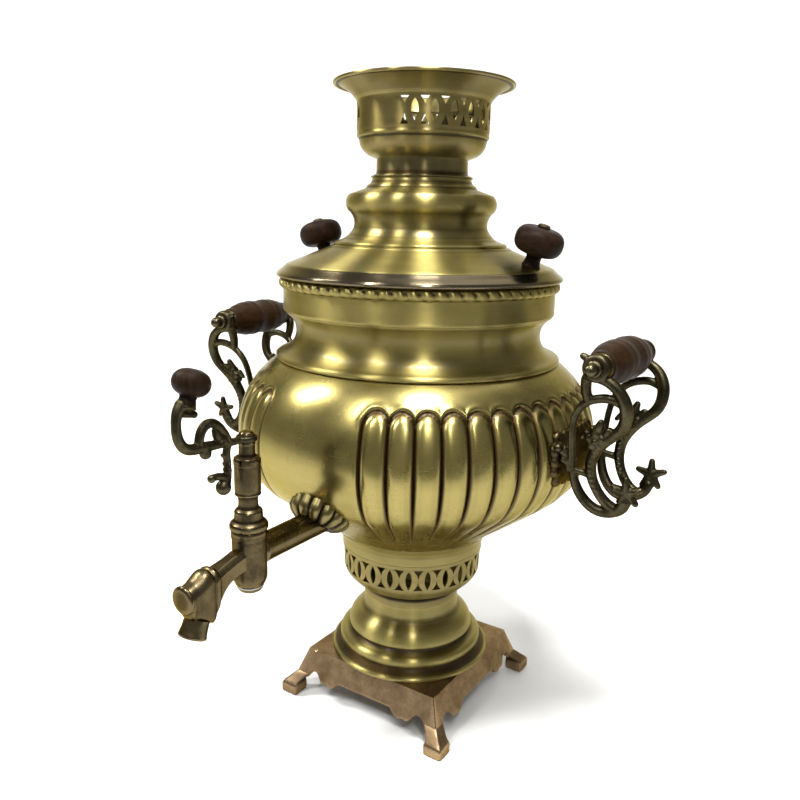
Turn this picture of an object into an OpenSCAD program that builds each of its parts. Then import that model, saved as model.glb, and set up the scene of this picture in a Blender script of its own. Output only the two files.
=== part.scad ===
// Charcoal samovar: a gadrooned water tank round a fire tube, on a square four-footed base.
// +Z is up. The origin is on the tank's axis, at the level of the feet. The tap points along -Y.

/* [Tank] */
// Largest radius of the belly
belly_r = 140; // [136:0.5:144]
// Height of the belly's widest ring
belly_z = 233; // [230:0.5:236]
// Radius of the upright collar under the lid
collar_r = 105; // [103.5:0.5:106]
// Sheet thickness of the shells
sheet = 1.4; // [1.2:0.1:1.8]
// Number of gadroons that would fill the whole belly
gadroons = 48; // [40:2:56]
// Gadroons left out in front, where the belly stays plain
plain_gadroons = 5; // [3:2:7]

/* [Fire tube] */
// Inside radius of the fire tube's mouth
flue_r = 28; // [26:0.5:28]
// Height of the fire tube's mouth
flue_top = 436; // [432:1:438]

/* [Base] */
// Side of the square base plate
base_side = 123; // [120:1:126]
// Distance of each foot's centre from the two middle planes
foot_at = 70.8; // [69:0.2:72]
// Side of a foot block
foot_side = 15.2; // [14:0.2:16]
// Openings round the air gallery of the foot
vents = 24; // [20:2:28]

/* [Tap] */
// Distance of the tap's barrel from the tank's axis
tap_out = 191; // [189:0.5:194]
// Height of the water way through the tap
tap_z = 189; // [188:0.5:190]
// Radius of the barrel
barrel_r = 11.4; // [11:0.1:12]
// Radius of the plug that turns in the barrel
plug_r = 7.6; // [7:0.1:8]
// Radial clearance of the plug
plug_gap = 0.05; // [0.02:0.01:0.09]

/* [Handles] */
// Distance of the grips from the tank's axis
grip_out = 166; // [164:0.5:168]
// Height of the grips
grip_z = 306; // [304:0.5:308]
// Largest radius of a grip
grip_r = 12.6; // [11.5:0.1:13]
// Turn of both handles towards the tap
handle_swing = 3; // [0:0.5:4]
// Outward tilt of each cast bracket
bracket_tilt = 12; // [11:0.5:13]
// Thickness of a cast bracket
bracket_t = 6; // [5:0.5:7]

/* [Lid and crown] */
// Outer radius of the lid
lid_r = 110; // [108.5:0.5:111]
// Distance of the lid's knobs from the axis
knob_out = 93; // [91:0.5:95]
// Radius of a lid knob
knob_r = 17.5; // [16.5:0.5:18.5]
// Outer radius of the crown's rim
crown_r = 67; // [65:0.5:69]
// Inside radius of the crown's neck
neck_r = 33.2; // [33:0.1:33.5]

/* [Hidden] */
$fn = 64;

BRASS = "#8a7d45";
DARK_BRASS = "#5d5130";
CAST = "#3f3a28";
WOOD = "#3a2318";
STEEL = "#77756f";

// Belly outline: a cone, then one arc below and one above the widest ring
low_arc = 55;
high_arc = 66;
cone_turn = 53.3;
crease_turn = 57.2;
foot_top_z = 150;
foot_top_r = 66.5;
cone_r = 75;
cone_z = 157;
crease_r = belly_r - high_arc + high_arc * cos(crease_turn);
crease_z = belly_z + high_arc * sin(crease_turn);

// Collar, lid seat and cove
cove_r = 16.5;
cove_z = 309.5;
collar_z = 325;
seat_z = 350;
lip_r = 100.4;

// Tap
barrel_low = 169.5;
barrel_high = 206;
water_r = 4.2;

// Handles
bracket_pivot_z = 230;
bracket_pivot_y = 25;
bracket_top_y = bracket_pivot_y + tan(bracket_tilt) * (grip_z - bracket_pivot_z);
ferrule_r = 9.5;
eye_t = 7;
boss_t = 5;
rod_r = 2.5;
rod_gap = 0.05;

// Lid
knob_lean = 17;
screw_r = 2;
bell_z = 375;
step_z = 424;
neck_wall = 1.3;
bowl_z = 438;
band_z = 456;
rim_z = 478;
top_z = 491.4;

function arc(c, r, a0, a1, n) =
    [for (i = [0:n]) let (a = a0 + (a1 - a0) * i / n) [c[0] + r * cos(a), c[1] + r * sin(a)]];
function reversed(v) = [for (i = [len(v) - 1:-1:0]) v[i]];
function belly_line(t, n = 7) = concat(
    [[foot_top_r - t, foot_top_z], [cone_r - t, cone_z + t / 2]],
    arc([belly_r - low_arc, belly_z], low_arc - t, -cone_turn, 0, n),
    arc([belly_r - high_arc, belly_z], high_arc - t, crease_turn / n, crease_turn, n));
function cove_line(t) = arc([crease_r + 2, cove_z], cove_r + t, 258, 120, 8);

module turned(points) {
    rotate_extrude($fn = 96) polygon(points);
}

// A turned shell between an outer line and an inner line that both run upwards
module turned_shell(outer, inner) {
    turned(concat(outer, reversed(inner)));
}

module at_corners(d) {
    for (sx = [-1, 1], sy = [-1, 1]) translate([sx * d, sy * d, 0]) children();
}

// The space that the belly fills, for seating what is soldered to it
module belly_space(extra = 0) {
    turned(concat([[0, foot_top_z]], belly_line(-extra), [[0, crease_z + extra]]));
}

// ---------------------------------------------------------------- base and foot

apron_top = 38;
apron_tilt = 19.5;
apron_t = 3;
apron_tall = 27.5;
lobe_r = 3.6;
arch_r = 6.2;

// Half of the apron's lower edge, from the plain middle over two lobes to the arch beside the leg
function apron_edge() = concat(
    [[28, 8]],
    arc([33.2, 5.2], lobe_r, 200, 320, 6),
    arc([40.2, 5.2], lobe_r, 220, 350, 6),
    arc([50.6, 5.2], arch_r, 180, 0, 8),
    [[50.6 + arch_r, 0]]);

// One side of the apron, drawn upwards from its scalloped lower edge
module apron_outline() {
    end = foot_at + 8;
    mirrored = [for (q = reversed(apron_edge())) [-q[0], q[1]]];
    polygon(concat([[-end, apron_tall], [-end, 0]], mirrored, apron_edge(), [[end, 0], [end, apron_tall]]));
}

module apron_side() {
    intersection() {
        translate([0, -base_side / 2, apron_top])
            rotate([-apron_tilt, 0, 0])
                rotate([90, 0, 0])
                    translate([0, -apron_tall, -apron_t])
                        linear_extrude(apron_t) apron_outline();
        // mitre planes at the corners
        linear_extrude(apron_top) polygon([[0, 0], [-110, -110], [110, -110]]);
    }
}

module base_casting() {
    color(DARK_BRASS) {
        difference() {
            translate([-base_side / 2, -base_side / 2, apron_top - apron_t])
                cube([base_side, base_side, apron_t]);
            translate([0, 0, apron_top - 10]) cylinder(r = 46, h = 20);
            at_corners(stud_at) translate([0, 0, apron_top - 10]) cylinder(r = stud_r + 0.1, h = 20);
        }
        for (a = [0:90:270]) rotate(a) apron_side();
        // legs and feet
        at_corners(foot_at) foot_block();
    }
}

// A block with rounded edges, stepped in towards the leg
module foot_block() {
    for (step = [[0, 9.4], [1.1, 11.2], [2.4, 12.8], [3.8, 15]])
        linear_extrude(step[1]) offset(1.4) square(foot_side - 2.8 - 2 * step[0], center = true);
}

stud_at = 40;
stud_r = 2.5;

// Four studs soldered in the pedestal's flange, with their nuts under the plate
module base_studs() {
    color(STEEL) at_corners(stud_at) {
        translate([0, 0, 30]) cylinder(r = stud_r, h = 10.5);
        translate([0, 0, 31]) cylinder(r = 4.6, h = 3.9, $fn = 6);
    }
}

module pedestal() {
    outer = concat(
        [[66, 38], [66, 41], [64.5, 42], [61.5, 42.6], [61, 45]],
        arc([56, 50], 4.6, -80, 80, 6),
        [[52.6, 55.2], [52, 57.5]],
        arc([39.5, 62], 12.2, 0, 74, 5),
        [[42.4, 75.3], [39.5, 76.2], [39.5, 88]]);
    inner = concat(
        [[48, 38], [48, 40.5], [54, 43], [57.5, 47], [57.5, 51.5], [50.4, 55]],
        arc([39.5, 62], 10.6, 0, 70, 4),
        [[38, 75], [38, 88]]);
    color(BRASS) difference() {
        turned_shell(outer, inner);
        at_corners(stud_at) translate([0, 0, 30]) cylinder(r = stud_r, h = 10.5);
    }
}

gallery_low = 112.4;
gallery_high = 129.6;

// One vent: a pointed oval, then a hollow-sided triangle above and below the next crossing
module vent_cut(step) {
    w = 56.5 * sin(step);
    tall = gallery_high - gallery_low;
    // pointed oval
    intersection() {
        translate([-10.3, 0]) circle(12.6);
        translate([10.3, 0]) circle(12.6);
    }
    for (s = [0, 1])
        translate([w / 2, 0]) mirror([0, s])
            polygon([[-3.8, tall / 2], [3.8, tall / 2], [1.5, 5], [0.5, 1.6], [-0.5, 1.6], [-1.5, 5]]);
}

module vent_gallery() {
    outer = [[39.5, 88], [42.1, 92.9], [44.8, 96.9], [48.3, 100.9], [52.3, 104.9],
        [55.4, 109], [56.5, 112], [57.6, 130.5], [58.6, 131.2], [58.6, 133.5]];
    inner = [[38, 88], [40.8, 93.6], [43.6, 97.8], [47.2, 101.9], [51.1, 106],
        [54, 109.8], [55, 112.4], [56.1, 130.5], [56.1, 133.5]];
    step = 360 / vents;
    color(BRASS) difference() {
        turned_shell(outer, inner);
        for (i = [0:vents - 1])
            rotate(i * step)
                translate([0, -50, (gallery_low + gallery_high) / 2])
                    rotate([90, 0, 0]) linear_extrude(12) vent_cut(step);
    }
}

module foot_collar() {
    outer = [[57.8, 133.5], [58.5, 137], [59.6, 141], [62, 145], [65.4, 148.6], [foot_top_r, foot_top_z]];
    inner = [[56.2, 133.5], [57, 137.4], [58.1, 141.6], [60.6, 146], [63.6, 149.2], [64.2, foot_top_z]];
    color(BRASS) turned_shell(outer, inner);
}

// ---------------------------------------------------------------- tank

// The belly is gadrooned all round but for a plain panel in front, so it is built ring by ring.
gadroon_step = 360 / gadroons;
gadroon_depth = 3.2;
gadroon_low = 161;
gadroon_shoulder = 268;
gadroon_high = 277.5;
panel_half = plain_gadroons * gadroon_step / 2;
panel_centre = -1.85;

// Where the cone meets the lower arc
arc_r = belly_r - low_arc + low_arc * cos(cone_turn);
arc_z = belly_z - low_arc * sin(cone_turn);

// Radius of the smooth belly at height z
function radius_at(z) =
    z <= cone_z ? foot_top_r + (cone_r - foot_top_r) * (z - foot_top_z) / (cone_z - foot_top_z) :
    z <= arc_z ? cone_r + (arc_r - cone_r) * (z - cone_z) / (arc_z - cone_z) :
    z <= belly_z ? belly_r - low_arc + sqrt(pow(low_arc, 2) - pow(belly_z - z, 2)) :
    belly_r - high_arc + sqrt(pow(high_arc, 2) - pow(z - belly_z, 2));

// Depth of the sheet below the smooth belly. across is 0 on a gadroon's ridge and 1 in the groove
// beside it. The groove runs up to the shoulder, where it turns over the gadroon's arched top.
function depth_at(across, z) =
    let (over = max(0, (z - gadroon_shoulder) / (gadroon_high - gadroon_shoulder),
            (gadroon_low + 6 - z) / 6),
        s = sqrt(pow(across, 2) + pow(over, 2)),
        t = max(0, (s - 0.4) / 0.6))
    gadroon_depth * (s < 1 ? 1 - sqrt(1 - t * t) : max(0, 1 - (s - 1) / 0.3));

// Columns round the belly: the angle from the tap, and the place across a gadroon (2 in the panel)
function columns(places) = concat(
    [for (i = [0:gadroons - plain_gadroons - 1], k = places)
        [panel_centre + panel_half + (i + (k + 1) / 2) * gadroon_step, abs(k)]],
    [for (i = [0:5]) [panel_centre - panel_half + i * panel_half / 3, i == 0 ? 1 : 2]]);

// One ring of points at height z, t inside the outer skin
function ring(cols, z, t) = [for (c = cols)
    let (r = radius_at(z) - t - (c[1] > 1 ? 0 : depth_at(c[1], z))) [r * sin(c[0]), -r * cos(c[0]), z]];

// Faces between the rings of one wall, whose points start at number first
function wall(first, n, rows, out) = [for (j = [0:rows - 2], i = [0:n - 1], half = [0, 1])
    let (a = first + j * n + i, b = first + j * n + (i + 1) % n,
        f = half == 0 ? [a, b, b + n] : [a, b + n, a + n])
    out ? reversed(f) : f];

// A flat rim between an outer and an inner ring, walked by angle
function rim_faces(outer, inner, first_out, first_in, i = 0, j = 0) =
    i == len(outer) && j == len(inner) ? [] :
    let (outer_turn = j == len(inner) ||
            (i < len(outer) && angle_of(outer, i + 1) <= angle_of(inner, j + 1)))
    concat(
        [outer_turn ?
            [first_out + i % len(outer), first_out + (i + 1) % len(outer), first_in + j % len(inner)] :
            [first_out + i % len(outer), first_in + (j + 1) % len(inner), first_in + j % len(inner)]],
        rim_faces(outer, inner, first_out, first_in, i + (outer_turn ? 1 : 0), j + (outer_turn ? 0 : 1)));
function angle_of(cols, i) = i < len(cols) ? cols[i][0] : cols[i - len(cols)][0] + 360;

module belly_shell() {
    outer_cols = columns([-1, -0.8, -0.4, 0.4, 0.8]);
    inner_cols = columns([-1, 0]);
    outer_z = [foot_top_z, 157.5, gadroon_low, 167, 182, 199, 216, 233, 248, 260, 268, 273, 277.5,
        280.5, crease_z];
    inner_z = [foot_top_z, 165, 185, 205, 219, 233, 247, 261, 275, crease_z];
    n = len(outer_cols);
    m = len(inner_cols);
    inner_first = n * len(outer_z);
    top_out = n * (len(outer_z) - 1);
    top_in = inner_first + m * (len(inner_z) - 1);
    points = concat(
        [for (z = outer_z) each ring(outer_cols, z, 0)],
        [for (z = inner_z) each ring(inner_cols, z, sheet)]);
    faces = concat(
        wall(0, n, len(outer_z), true),
        wall(inner_first, m, len(inner_z), false),
        rim_faces(outer_cols, inner_cols, 0, inner_first),
        [for (f = rim_faces(outer_cols, inner_cols, top_out, top_in)) reversed(f)]);
    color(BRASS) difference() {
        polyhedron(points, faces, convexity = 6);
        translate([0, 0, tap_z]) rotate([90, 0, 0]) cylinder(r = water_r, h = belly_r);
    }
}

module collar_shell() {
    outer = concat(
        [[crease_r, crease_z], [crease_r, crease_z + 1.6], [crease_r - 1, crease_z + 3.4]],
        cove_line(0),
        [[collar_r - 0.6, collar_z], [collar_r, collar_z + 2], [collar_r, 342.5], [103.2, 342.5],
            [103.2, seat_z]]);
    inner = concat(
        [[crease_r - sheet, crease_z], [crease_r - 2.6, crease_z + 3]],
        cove_line(sheet),
        [[collar_r - 2, collar_z + 1], [collar_r - sheet - 1, 341], [lip_r, 341], [lip_r, seat_z]]);
    color(BRASS) turned_shell(outer, inner);
}

// Rope-edged ring round the tank's mouth
module bead_trim() {
    beads = 64;
    ring = concat([[103.3, 342.5]], arc([104.6, 346.1], 3.5, -78, 78, 6), [[103.3, 349.8]]);
    color(BRASS) difference() {
        turned(ring);
        for (i = [0:beads - 1])
            rotate(i * 360 / beads)
                translate([108.6, 0, 346]) rotate([24, 0, 0])
                    cylinder(r = 1.3, h = 12, center = true, $fn = 16);
    }
}

module tank_bottom() {
    color(BRASS) turned([[38, 143], [58.8, 143], [59.9, 145], [38, 145]]);
}

module fire_tube() {
    outer = [[38, 134], [38, 150], [flue_r + sheet, 246], [flue_r + sheet, flue_top]];
    inner = [[33.5, 134], [33.5, 136], [36.4, 136], [36.4, 150], [flue_r, 246], [flue_r, flue_top]];
    color(DARK_BRASS) turned_shell(outer, inner);
}

module grate() {
    color(STEEL) translate([0, 0, 136]) difference() {
        cylinder(r = 36.2, h = 3.5);
        for (x = [-24:8:24])
            translate([x - 1.8, -24, -1]) cube([3.6, 48, 6]);
    }
}

// ---------------------------------------------------------------- handles

// A bent strand of width w along part of a circle, with round ends
module strand(c, r, a0, a1, w = 6.6) {
    translate(c) {
        intersection() {
            difference() {
                circle(r + w / 2);
                circle(r - w / 2);
            }
            far = 2 * r + 2 * w;
            mid = (a0 + a1) / 2;
            polygon([[0, 0], far * [cos(a0), sin(a0)], far * [cos(mid), sin(mid)],
                far * [cos(a1), sin(a1)]]);
        }
        for (a = [a0, a1]) translate(r * [cos(a), sin(a)]) circle(w / 2);
    }
}

module star(tips, r_out, r_in) {
    polygon([for (i = [0:2 * tips - 1])
        let (r = i % 2 == 0 ? r_out : r_in, a = 180 * i / tips) r * [cos(a), sin(a)]]);
    for (i = [0:tips - 1]) rotate(i * 360 / tips) translate([r_out - 2.4, 0]) circle(1.8);
}

// Side view of a cast bracket: distance from the tank's axis, and height
module bracket_outline() {
    // inner strand: down from the eye, and the hoop that stands off the boss
    strand([258, 290], 100, 174, 183, 6.4);
    strand([170, 268], 18.3, 56, 165, 5.4);
    strand([239.2, 249.4], 90, 164, 191, 4.2);
    // outer strand, an S from the eye to the lower hook
    strand([164.2, 278], 20.5, -52, 80, 6);
    polygon([[174.2, 264.6], [179, 259.8], [168, 248.6], [162, 251.6]]);
    strand([202, 236], 40, 159, 217, 6);
    strand([172, 226.5], 21, 160, 306, 6.4);
    polygon([[165.5, 214], [162.5, 208], [176, 204.4], [183, 211.6], [172, 215.6]]);
    polygon([[149.5, 235], [160.6, 233], [160.6, 229], [151, 229]]);
    // flower with a leaf that curls into the hoop
    translate([166, 258]) for (i = [0:4]) rotate(18 + i * 72) translate([4.2, 0]) circle(3.6);
    translate([166, 258]) circle(5);
    polygon([[160.4, 260], [166, 268.4], [169.4, 272.4], [172, 267.4], [176.5, 269.6], [177, 262]]);
    translate([169.2, 271]) circle(1.9);
    // star
    translate([186.2, 223.4]) rotate(22) star(5, 12.8, 6);
}

// Brackets are placed for the right handle; front = 1 is the one nearer the tap
module bracket(front) {
    color(CAST) handle_place() difference() {
        union() {
            translate([0, -front * bracket_pivot_y, bracket_pivot_z])
                rotate([front * bracket_tilt, 0, 0])
                    translate([0, 0, -bracket_pivot_z])
                        rotate([90, 0, 0]) linear_extrude(bracket_t, center = true)
                            bracket_outline();
            // foot that stands on the boss
            translate([141, -front * (bracket_pivot_y + 1) - 5, 230]) cube([8.6, 10, 18]);
            // eye for the grip rod
            translate([grip_out, -front * bracket_top_y, grip_z])
                rotate([90, 0, 0]) cylinder(r = ferrule_r, h = eye_t, center = true);
        }
        translate([grip_out, 0, grip_z]) rotate([90, 0, 0]) {
            cylinder(r = rod_r + rod_gap, h = 140, center = true);
            // room for the grip's cups and the nuts
            cylinder(r = ferrule_r, h = 2 * bracket_top_y - eye_t, center = true);
            for (s = [-1, 1]) translate([0, 0, s * (bracket_top_y + eye_t / 2 + 10)])
                cylinder(r = 6, h = 20, center = true);
        }
        belly_space(boss_t);
    }
}

module handle_place() {
    rotate(-handle_swing) children();
}

// Shell-shaped plate on the belly that carries both brackets
module handle_boss() {
    color(CAST) handle_place() difference() {
        intersection() {
            belly_space(boss_t);
            translate([100, 0, 236]) rotate([90, 0, 90]) linear_extrude(60) boss_outline();
        }
        belly_space(0);
    }
}

module boss_outline() {
    square([56, 30], center = true);
    for (s = [-1, 1]) {
        for (x = [-21:14:21]) translate([x, s * 15]) circle(8);
        for (z = [-7.5, 7.5]) translate([s * 28, z]) circle(8);
    }
}

module grip() {
    half = bracket_top_y - eye_t / 2 - 5;
    profile = concat([[rod_r + rod_gap, -half], [7.6, -half]],
        [for (i = [0:10]) let (x = -half + 3 + (2 * half - 6) * i / 10)
            [grip_r - 4.2 * pow(abs(x) / half, 3) - (abs(x) < 14 ? 0.9 * cos(180 * x / 14) : 0), x]],
        [[7.6, half], [rod_r + rod_gap, half]]);
    color(WOOD) handle_place() translate([grip_out, 0, grip_z]) rotate([90, 0, 0])
        rotate_extrude() polygon(profile);
}

// Two turned cups between the grip and the brackets
module grip_ferrules() {
    y = bracket_top_y - eye_t / 2;
    color(CAST) handle_place() for (s = [-1, 1])
        translate([grip_out, s * y, grip_z]) rotate([s * 90, 0, 0])
            rotate_extrude() polygon([[rod_r + rod_gap, 0], [9.2, 0], [9.2, 1.6], [8, 2.4],
                [8.4, 4], [7.6, 5], [rod_r + rod_gap, 5]]);
}

module grip_rod() {
    color(STEEL) handle_place() translate([grip_out, 0, grip_z]) rotate([90, 0, 0])
        cylinder(r = rod_r, h = 2 * bracket_top_y + 15, center = true);
}

// Ball nuts on the ends of the rod
module grip_nuts() {
    y = bracket_top_y + eye_t / 2;
    color(CAST) handle_place() for (s = [-1, 1])
        translate([grip_out, s * y, grip_z]) rotate([-s * 90, 0, 0])
            rotate_extrude() polygon(concat([[rod_r + rod_gap, 0], [5.4, 0], [5.4, 2], [3.6, 3]],
                arc([0, 6.4], 4.4, -30, 90, 5), [[0, 4.6], [rod_r + rod_gap, 4.6]]));
}

module handle_boss_right() { handle_boss(); }
module bracket_front_right() { bracket(1); }
module bracket_rear_right() { bracket(-1); }
module grip_right() { grip(); }
module grip_ferrules_right() { grip_ferrules(); }
module grip_rod_right() { grip_rod(); }
module grip_nuts_right() { grip_nuts(); }
module handle_boss_left() { mirror([1, 0, 0]) handle_boss(); }
module bracket_front_left() { mirror([1, 0, 0]) bracket(1); }
module bracket_rear_left() { mirror([1, 0, 0]) bracket(-1); }
module grip_left() { mirror([1, 0, 0]) grip(); }
module grip_ferrules_left() { mirror([1, 0, 0]) grip_ferrules(); }
module grip_rod_left() { mirror([1, 0, 0]) grip_rod(); }
module grip_nuts_left() { mirror([1, 0, 0]) grip_nuts(); }

// ---------------------------------------------------------------- tap

shank_r = 9.3;
boss_z = 180;
boss_y = 243.6;
mouth_y = 239.5;
mouth_z = 154.3;
mouth_lean = 25;
mouth_length = 10;

// Views are drawn from the side, with the distance from the tank's axis to the right
module from_side(width) {
    rotate([90, 0, -90]) linear_extrude(width, center = true) children();
}

// Frame of the leaning nozzle: its rim is at zero, and it points up into the head
module at_mouth() {
    translate([0, -mouth_y, mouth_z]) rotate([-mouth_lean, 0, 0]) children();
}

// Neck and head of the spout: the shape that its side, top and front views leave
module spout() {
    intersection() {
        from_side(30) polygon([[186, 197], [196, 195.4], [213, 192.2], [222.6, 190.4], [222.8, 193],
            [225.6, 193.6], [226.4, 192.6], [229.5, 193.2], [233, 191.6], [237, 189], [240, 188],
            [boss_y, 188], [boss_y, 172], [242, 171], [242, 150], [227.6, 150], [227.6, 160],
            [226, 164.6], [223.4, 169.4], [219, 174.8], [212, 179.2], [203, 181], [186, 181]]);
        for (side = [0, 1]) mirror([side, 0]) linear_extrude(200)
            polygon([[-1, -186], [6.4, -186], [6.4, -212], [7.2, -222], [8.6, -222.6], [8.6, -225.8],
                [7.9, -226.4], [8, -boss_y], [-1, -boss_y]]);
        rotate([90, 0, 0]) linear_extrude(250) union() {
            translate([0, 185]) circle(8.8);
            translate([-8.8, 150]) square([17.6, 35]);
        }
        // cut square to the nozzle
        at_mouth() translate([0, 0, mouth_length + 50]) cube(100, center = true);
    }
}

module tap_body() {
    color(DARK_BRASS) difference() {
        union() {
            // shank
            translate([0, 0, tap_z]) rotate([90, 0, 0])
                translate([0, 0, 100]) cylinder(r = shank_r, h = tap_out - 100);
            // barrel
            translate([0, -tap_out, 0]) rotate_extrude()
                polygon([[0, barrel_low], [9.6, barrel_low], [barrel_r - 0.4, barrel_low + 4],
                    [barrel_r - 0.4, barrel_high - 6.4], [barrel_r + 0.2, barrel_high - 5.8],
                    [barrel_r + 0.2, barrel_high - 3.6], [barrel_r - 0.6, barrel_high - 3],
                    [barrel_r + 0.2, barrel_high - 2.4], [barrel_r + 0.2, barrel_high], [0, barrel_high]]);
            spout();
        }
        belly_space(0);
        translate([0, -tap_out, barrel_low - 1]) cylinder(r = plug_r + plug_gap, h = 60);
        // water ways: through the shank, down the spout, and into the nozzle
        translate([0, 0, tap_z]) rotate([90, 0, 0]) cylinder(r = water_r, h = tap_out);
        translate([0, -tap_out, tap_z]) rotate([90 + 21, 0, 0]) cylinder(r = water_r, h = 44);
        at_mouth() cylinder(r = 5, h = 18);
        // seat of the front plug
        translate([0, -boss_y + 4, boss_z]) rotate([90, 0, 0]) cylinder(r = 5.5, h = 10);
    }
}

rosette_lean = 141;
rosette_petals = 14;

// Shell of rounded petals round the shank, seated on the belly
module tap_rosette() {
    color(BRASS) difference() {
        translate([0, -123, 193]) rotate([rosette_lean, 0, 0]) {
            translate([0, 0, -9]) rotate_extrude()
                polygon([[0, 0], [19.6, 0], [20.4, 8], [19.6, 10.2], [11, 12.4], [0, 12.4]]);
            for (i = [0:rosette_petals - 1])
                rotate((i + 0.5) * 360 / rosette_petals) {
                    translate([6, 0, 2.6]) rotate([0, 94, 0])
                        cylinder(r1 = 1.6, r2 = 3.6, h = 11.4, $fn = 24);
                    translate([17.2, 0, 1.8]) sphere(3.9, $fn = 24);
                }
        }
        belly_space(0);
        translate([0, 0, tap_z]) rotate([90, 0, 0]) cylinder(r = shank_r, h = tap_out);
    }
}

module tap_outlet_plug() {
    color(DARK_BRASS) translate([0, 0, boss_z]) rotate([90, 0, 0])
        rotate_extrude() polygon([[0, boss_y - 4], [5.5, boss_y - 4], [5.5, boss_y], [8.3, boss_y],
            [8.5, boss_y + 0.8], [8.3, boss_y + 2], [6.8, boss_y + 2.9], [0, boss_y + 3.3]]);
}

module tap_nozzle() {
    color(DARK_BRASS) at_mouth() rotate_extrude()
        polygon([[5, 0], [8.1, 0], [8.5, 1], [8.3, 2.2], [7.4, 8], [7.6, mouth_length], [5, mouth_length]]);
}

// ---------------------------------------------------------------- key, which turns in the barrel

module at_tap() {
    translate([0, -tap_out, 0]) children();
}

module key_plug() {
    top = barrel_high + 0.2;
    color(DARK_BRASS) at_tap() difference() {
        rotate_extrude() polygon([[0, 166], [3.4, 166], [3.4, barrel_low + 0.5],
            [plug_r, barrel_low + 0.5], [plug_r, top], [11.6, top], [11.6, top + 5],
            [9.4, top + 6.4], [8.6, top + 7], [8.6, top + 12], [6.2, top + 14], [6, top + 20],
            [8.1, top + 22.4], [8.1, 251], [7.4, 253.4], [5, 253.4], [5, eye_low], [3, eye_low],
            [3, eye_high], [0, eye_high]]);
        translate([0, 0, tap_z]) rotate([0, 90, 0]) cylinder(r = water_r, h = 30, center = true);
    }
}

module key_washer() {
    color(STEEL) at_tap() translate([0, 0, barrel_low - 1.3]) difference() {
        cylinder(r = 8.6, h = 1.1);
        translate([0, 0, -1]) cylinder(r = 3.45, h = 4);
    }
}

// Domed nut that holds the plug down in its barrel
module key_end_nut() {
    color(DARK_BRASS) at_tap() difference() {
        rotate_extrude() polygon([[0, 164], [4, 164.3], [7, 165.6], [8.3, 168.1], [0, 168.1]]);
        translate([0, 0, 165.9]) cylinder(r = 3.45, h = 8);
    }
}

eye_low = 262.4;
eye_high = 266.4;

// Side view of the key's cast scroll: distance from the barrel's axis, and height
module scroll_outline() {
    // strip beside the hub, with its ball and finger
    translate([5, eye_low]) square([12, eye_high - eye_low]);
    translate([13.2, 240]) square([4.2, 24]);
    translate([20, 238.2]) circle(4.4);
    polygon([[13.2, 240], [17, 236], [23, 240], [21, 248], [17.4, 252], [13.2, 252]]);
    translate([18, 244.2]) square([10, 4.2]);
    translate([28.2, 246.3]) circle(2.2);
    // hump with its eye
    difference() {
        union() {
            translate([28.4, 270.4]) circle(11);
            polygon([[11, 266.2], [19, 276], [28, 262.8], [14, 262.8]]);
        }
        translate([28.6, 273]) circle(3.8);
        translate([22, 254]) square([14, 9.4]);
    }
    translate([32.4, 264.4]) circle(4);
    // bar and arm up to the knob
    translate([30, 263.2]) square([14, 6.6]);
    strand([38.5, 279.5], 12.4, -72, 0, 5.4);
    translate([48.2, 279]) square([5.4, 11]);
    polygon([[48.2, 285], [53.6, 287], [53.2, 293], [49.6, 298.4], [42, 295.4], [42.4, 291], [45, 289.6]]);
    polygon([[40.2, 288], [40.2, 285.4], [50, 285.4], [50, 291]]);
}

module key_scroll() {
    color(CAST) at_tap() difference() {
        union() {
            rotate([90, 0, -90]) linear_extrude(5, center = true) scroll_outline();
            translate([0, 0, eye_low]) cylinder(r = 6.4, h = eye_high - eye_low);
        }
        translate([0, 0, eye_low - 1]) cylinder(r = 3.05, h = 10);
        at_key_knob() cylinder(r = 20, h = 20);
    }
}

key_knob_r = 11.4;

module at_key_knob() {
    translate([0, -43.4, 297.4]) rotate([-20, 0, 0]) children();
}

// Flattened wooden ball, leaning back towards the tank
module key_knob() {
    color(WOOD) at_tap() at_key_knob() rotate_extrude()
        polygon(concat([[0, 0], [5, 0]], arc([key_knob_r - 7.4, 7.6], 7.4, -68, 68, 9), [[0, 15.4]]));
}

// Riveted end of the stem, over the scroll's eye
module key_finial() {
    color(DARK_BRASS) at_tap() rotate_extrude()
        polygon([[0, eye_high], [4.6, eye_high], [4.2, eye_high + 1.2], [2.4, eye_high + 2],
            [0, eye_high + 2.2]]);
}

// ---------------------------------------------------------------- lid

module lid_plate() {
    rim = [[lip_r - 2.2, 342], [lip_r - 0.8, 342], [lip_r - 0.8, seat_z], [103.3, seat_z]];
    top = [[lid_r, seat_z + 1.2], [lid_r, seat_z + 2.8], [104.6, 356.8], [100.4, 360.4],
        [90, 364.8], [64.5, bell_z]];
    under = [[62, bell_z], [62, 374.2], [89.4, 363.2], [99.6, 358.9], [103.5, 355.5],
        [106.2, 353], [lip_r - 2.2, seat_z + 1.5]];
    color(BRASS) difference() {
        turned(concat(rim, top, under));
        at_knobs() cylinder(r = screw_r + 0.1, h = 40, center = true);
    }
}

module lid_bell() {
    outer = concat(
        [[66.5, bell_z]], arc([65, bell_z + 1.5], 1.5, -90, 100, 4), [[61.6, bell_z + 2.4]],
        arc([68.5, 391.5], 17, 238, 170, 7),
        arc([51.6, 405.2], 5.6, -62, 52, 6),
        [[49, 413.6], [42.9, 416.3], [41.6, 418], [38.4, 420.4], [37.6, 422.2], [37.6, step_z]]);
    inner = concat(
        [[61, bell_z]],
        arc([68.5, 391.5], 18.4, 238, 170, 7),
        arc([51.6, 405.2], 4.2, -62, 52, 5),
        [[47.6, 412.4], [41.6, 414.9], [36, 420], [36, step_z]]);
    color(BRASS) turned_shell(outer, inner);
}

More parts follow.
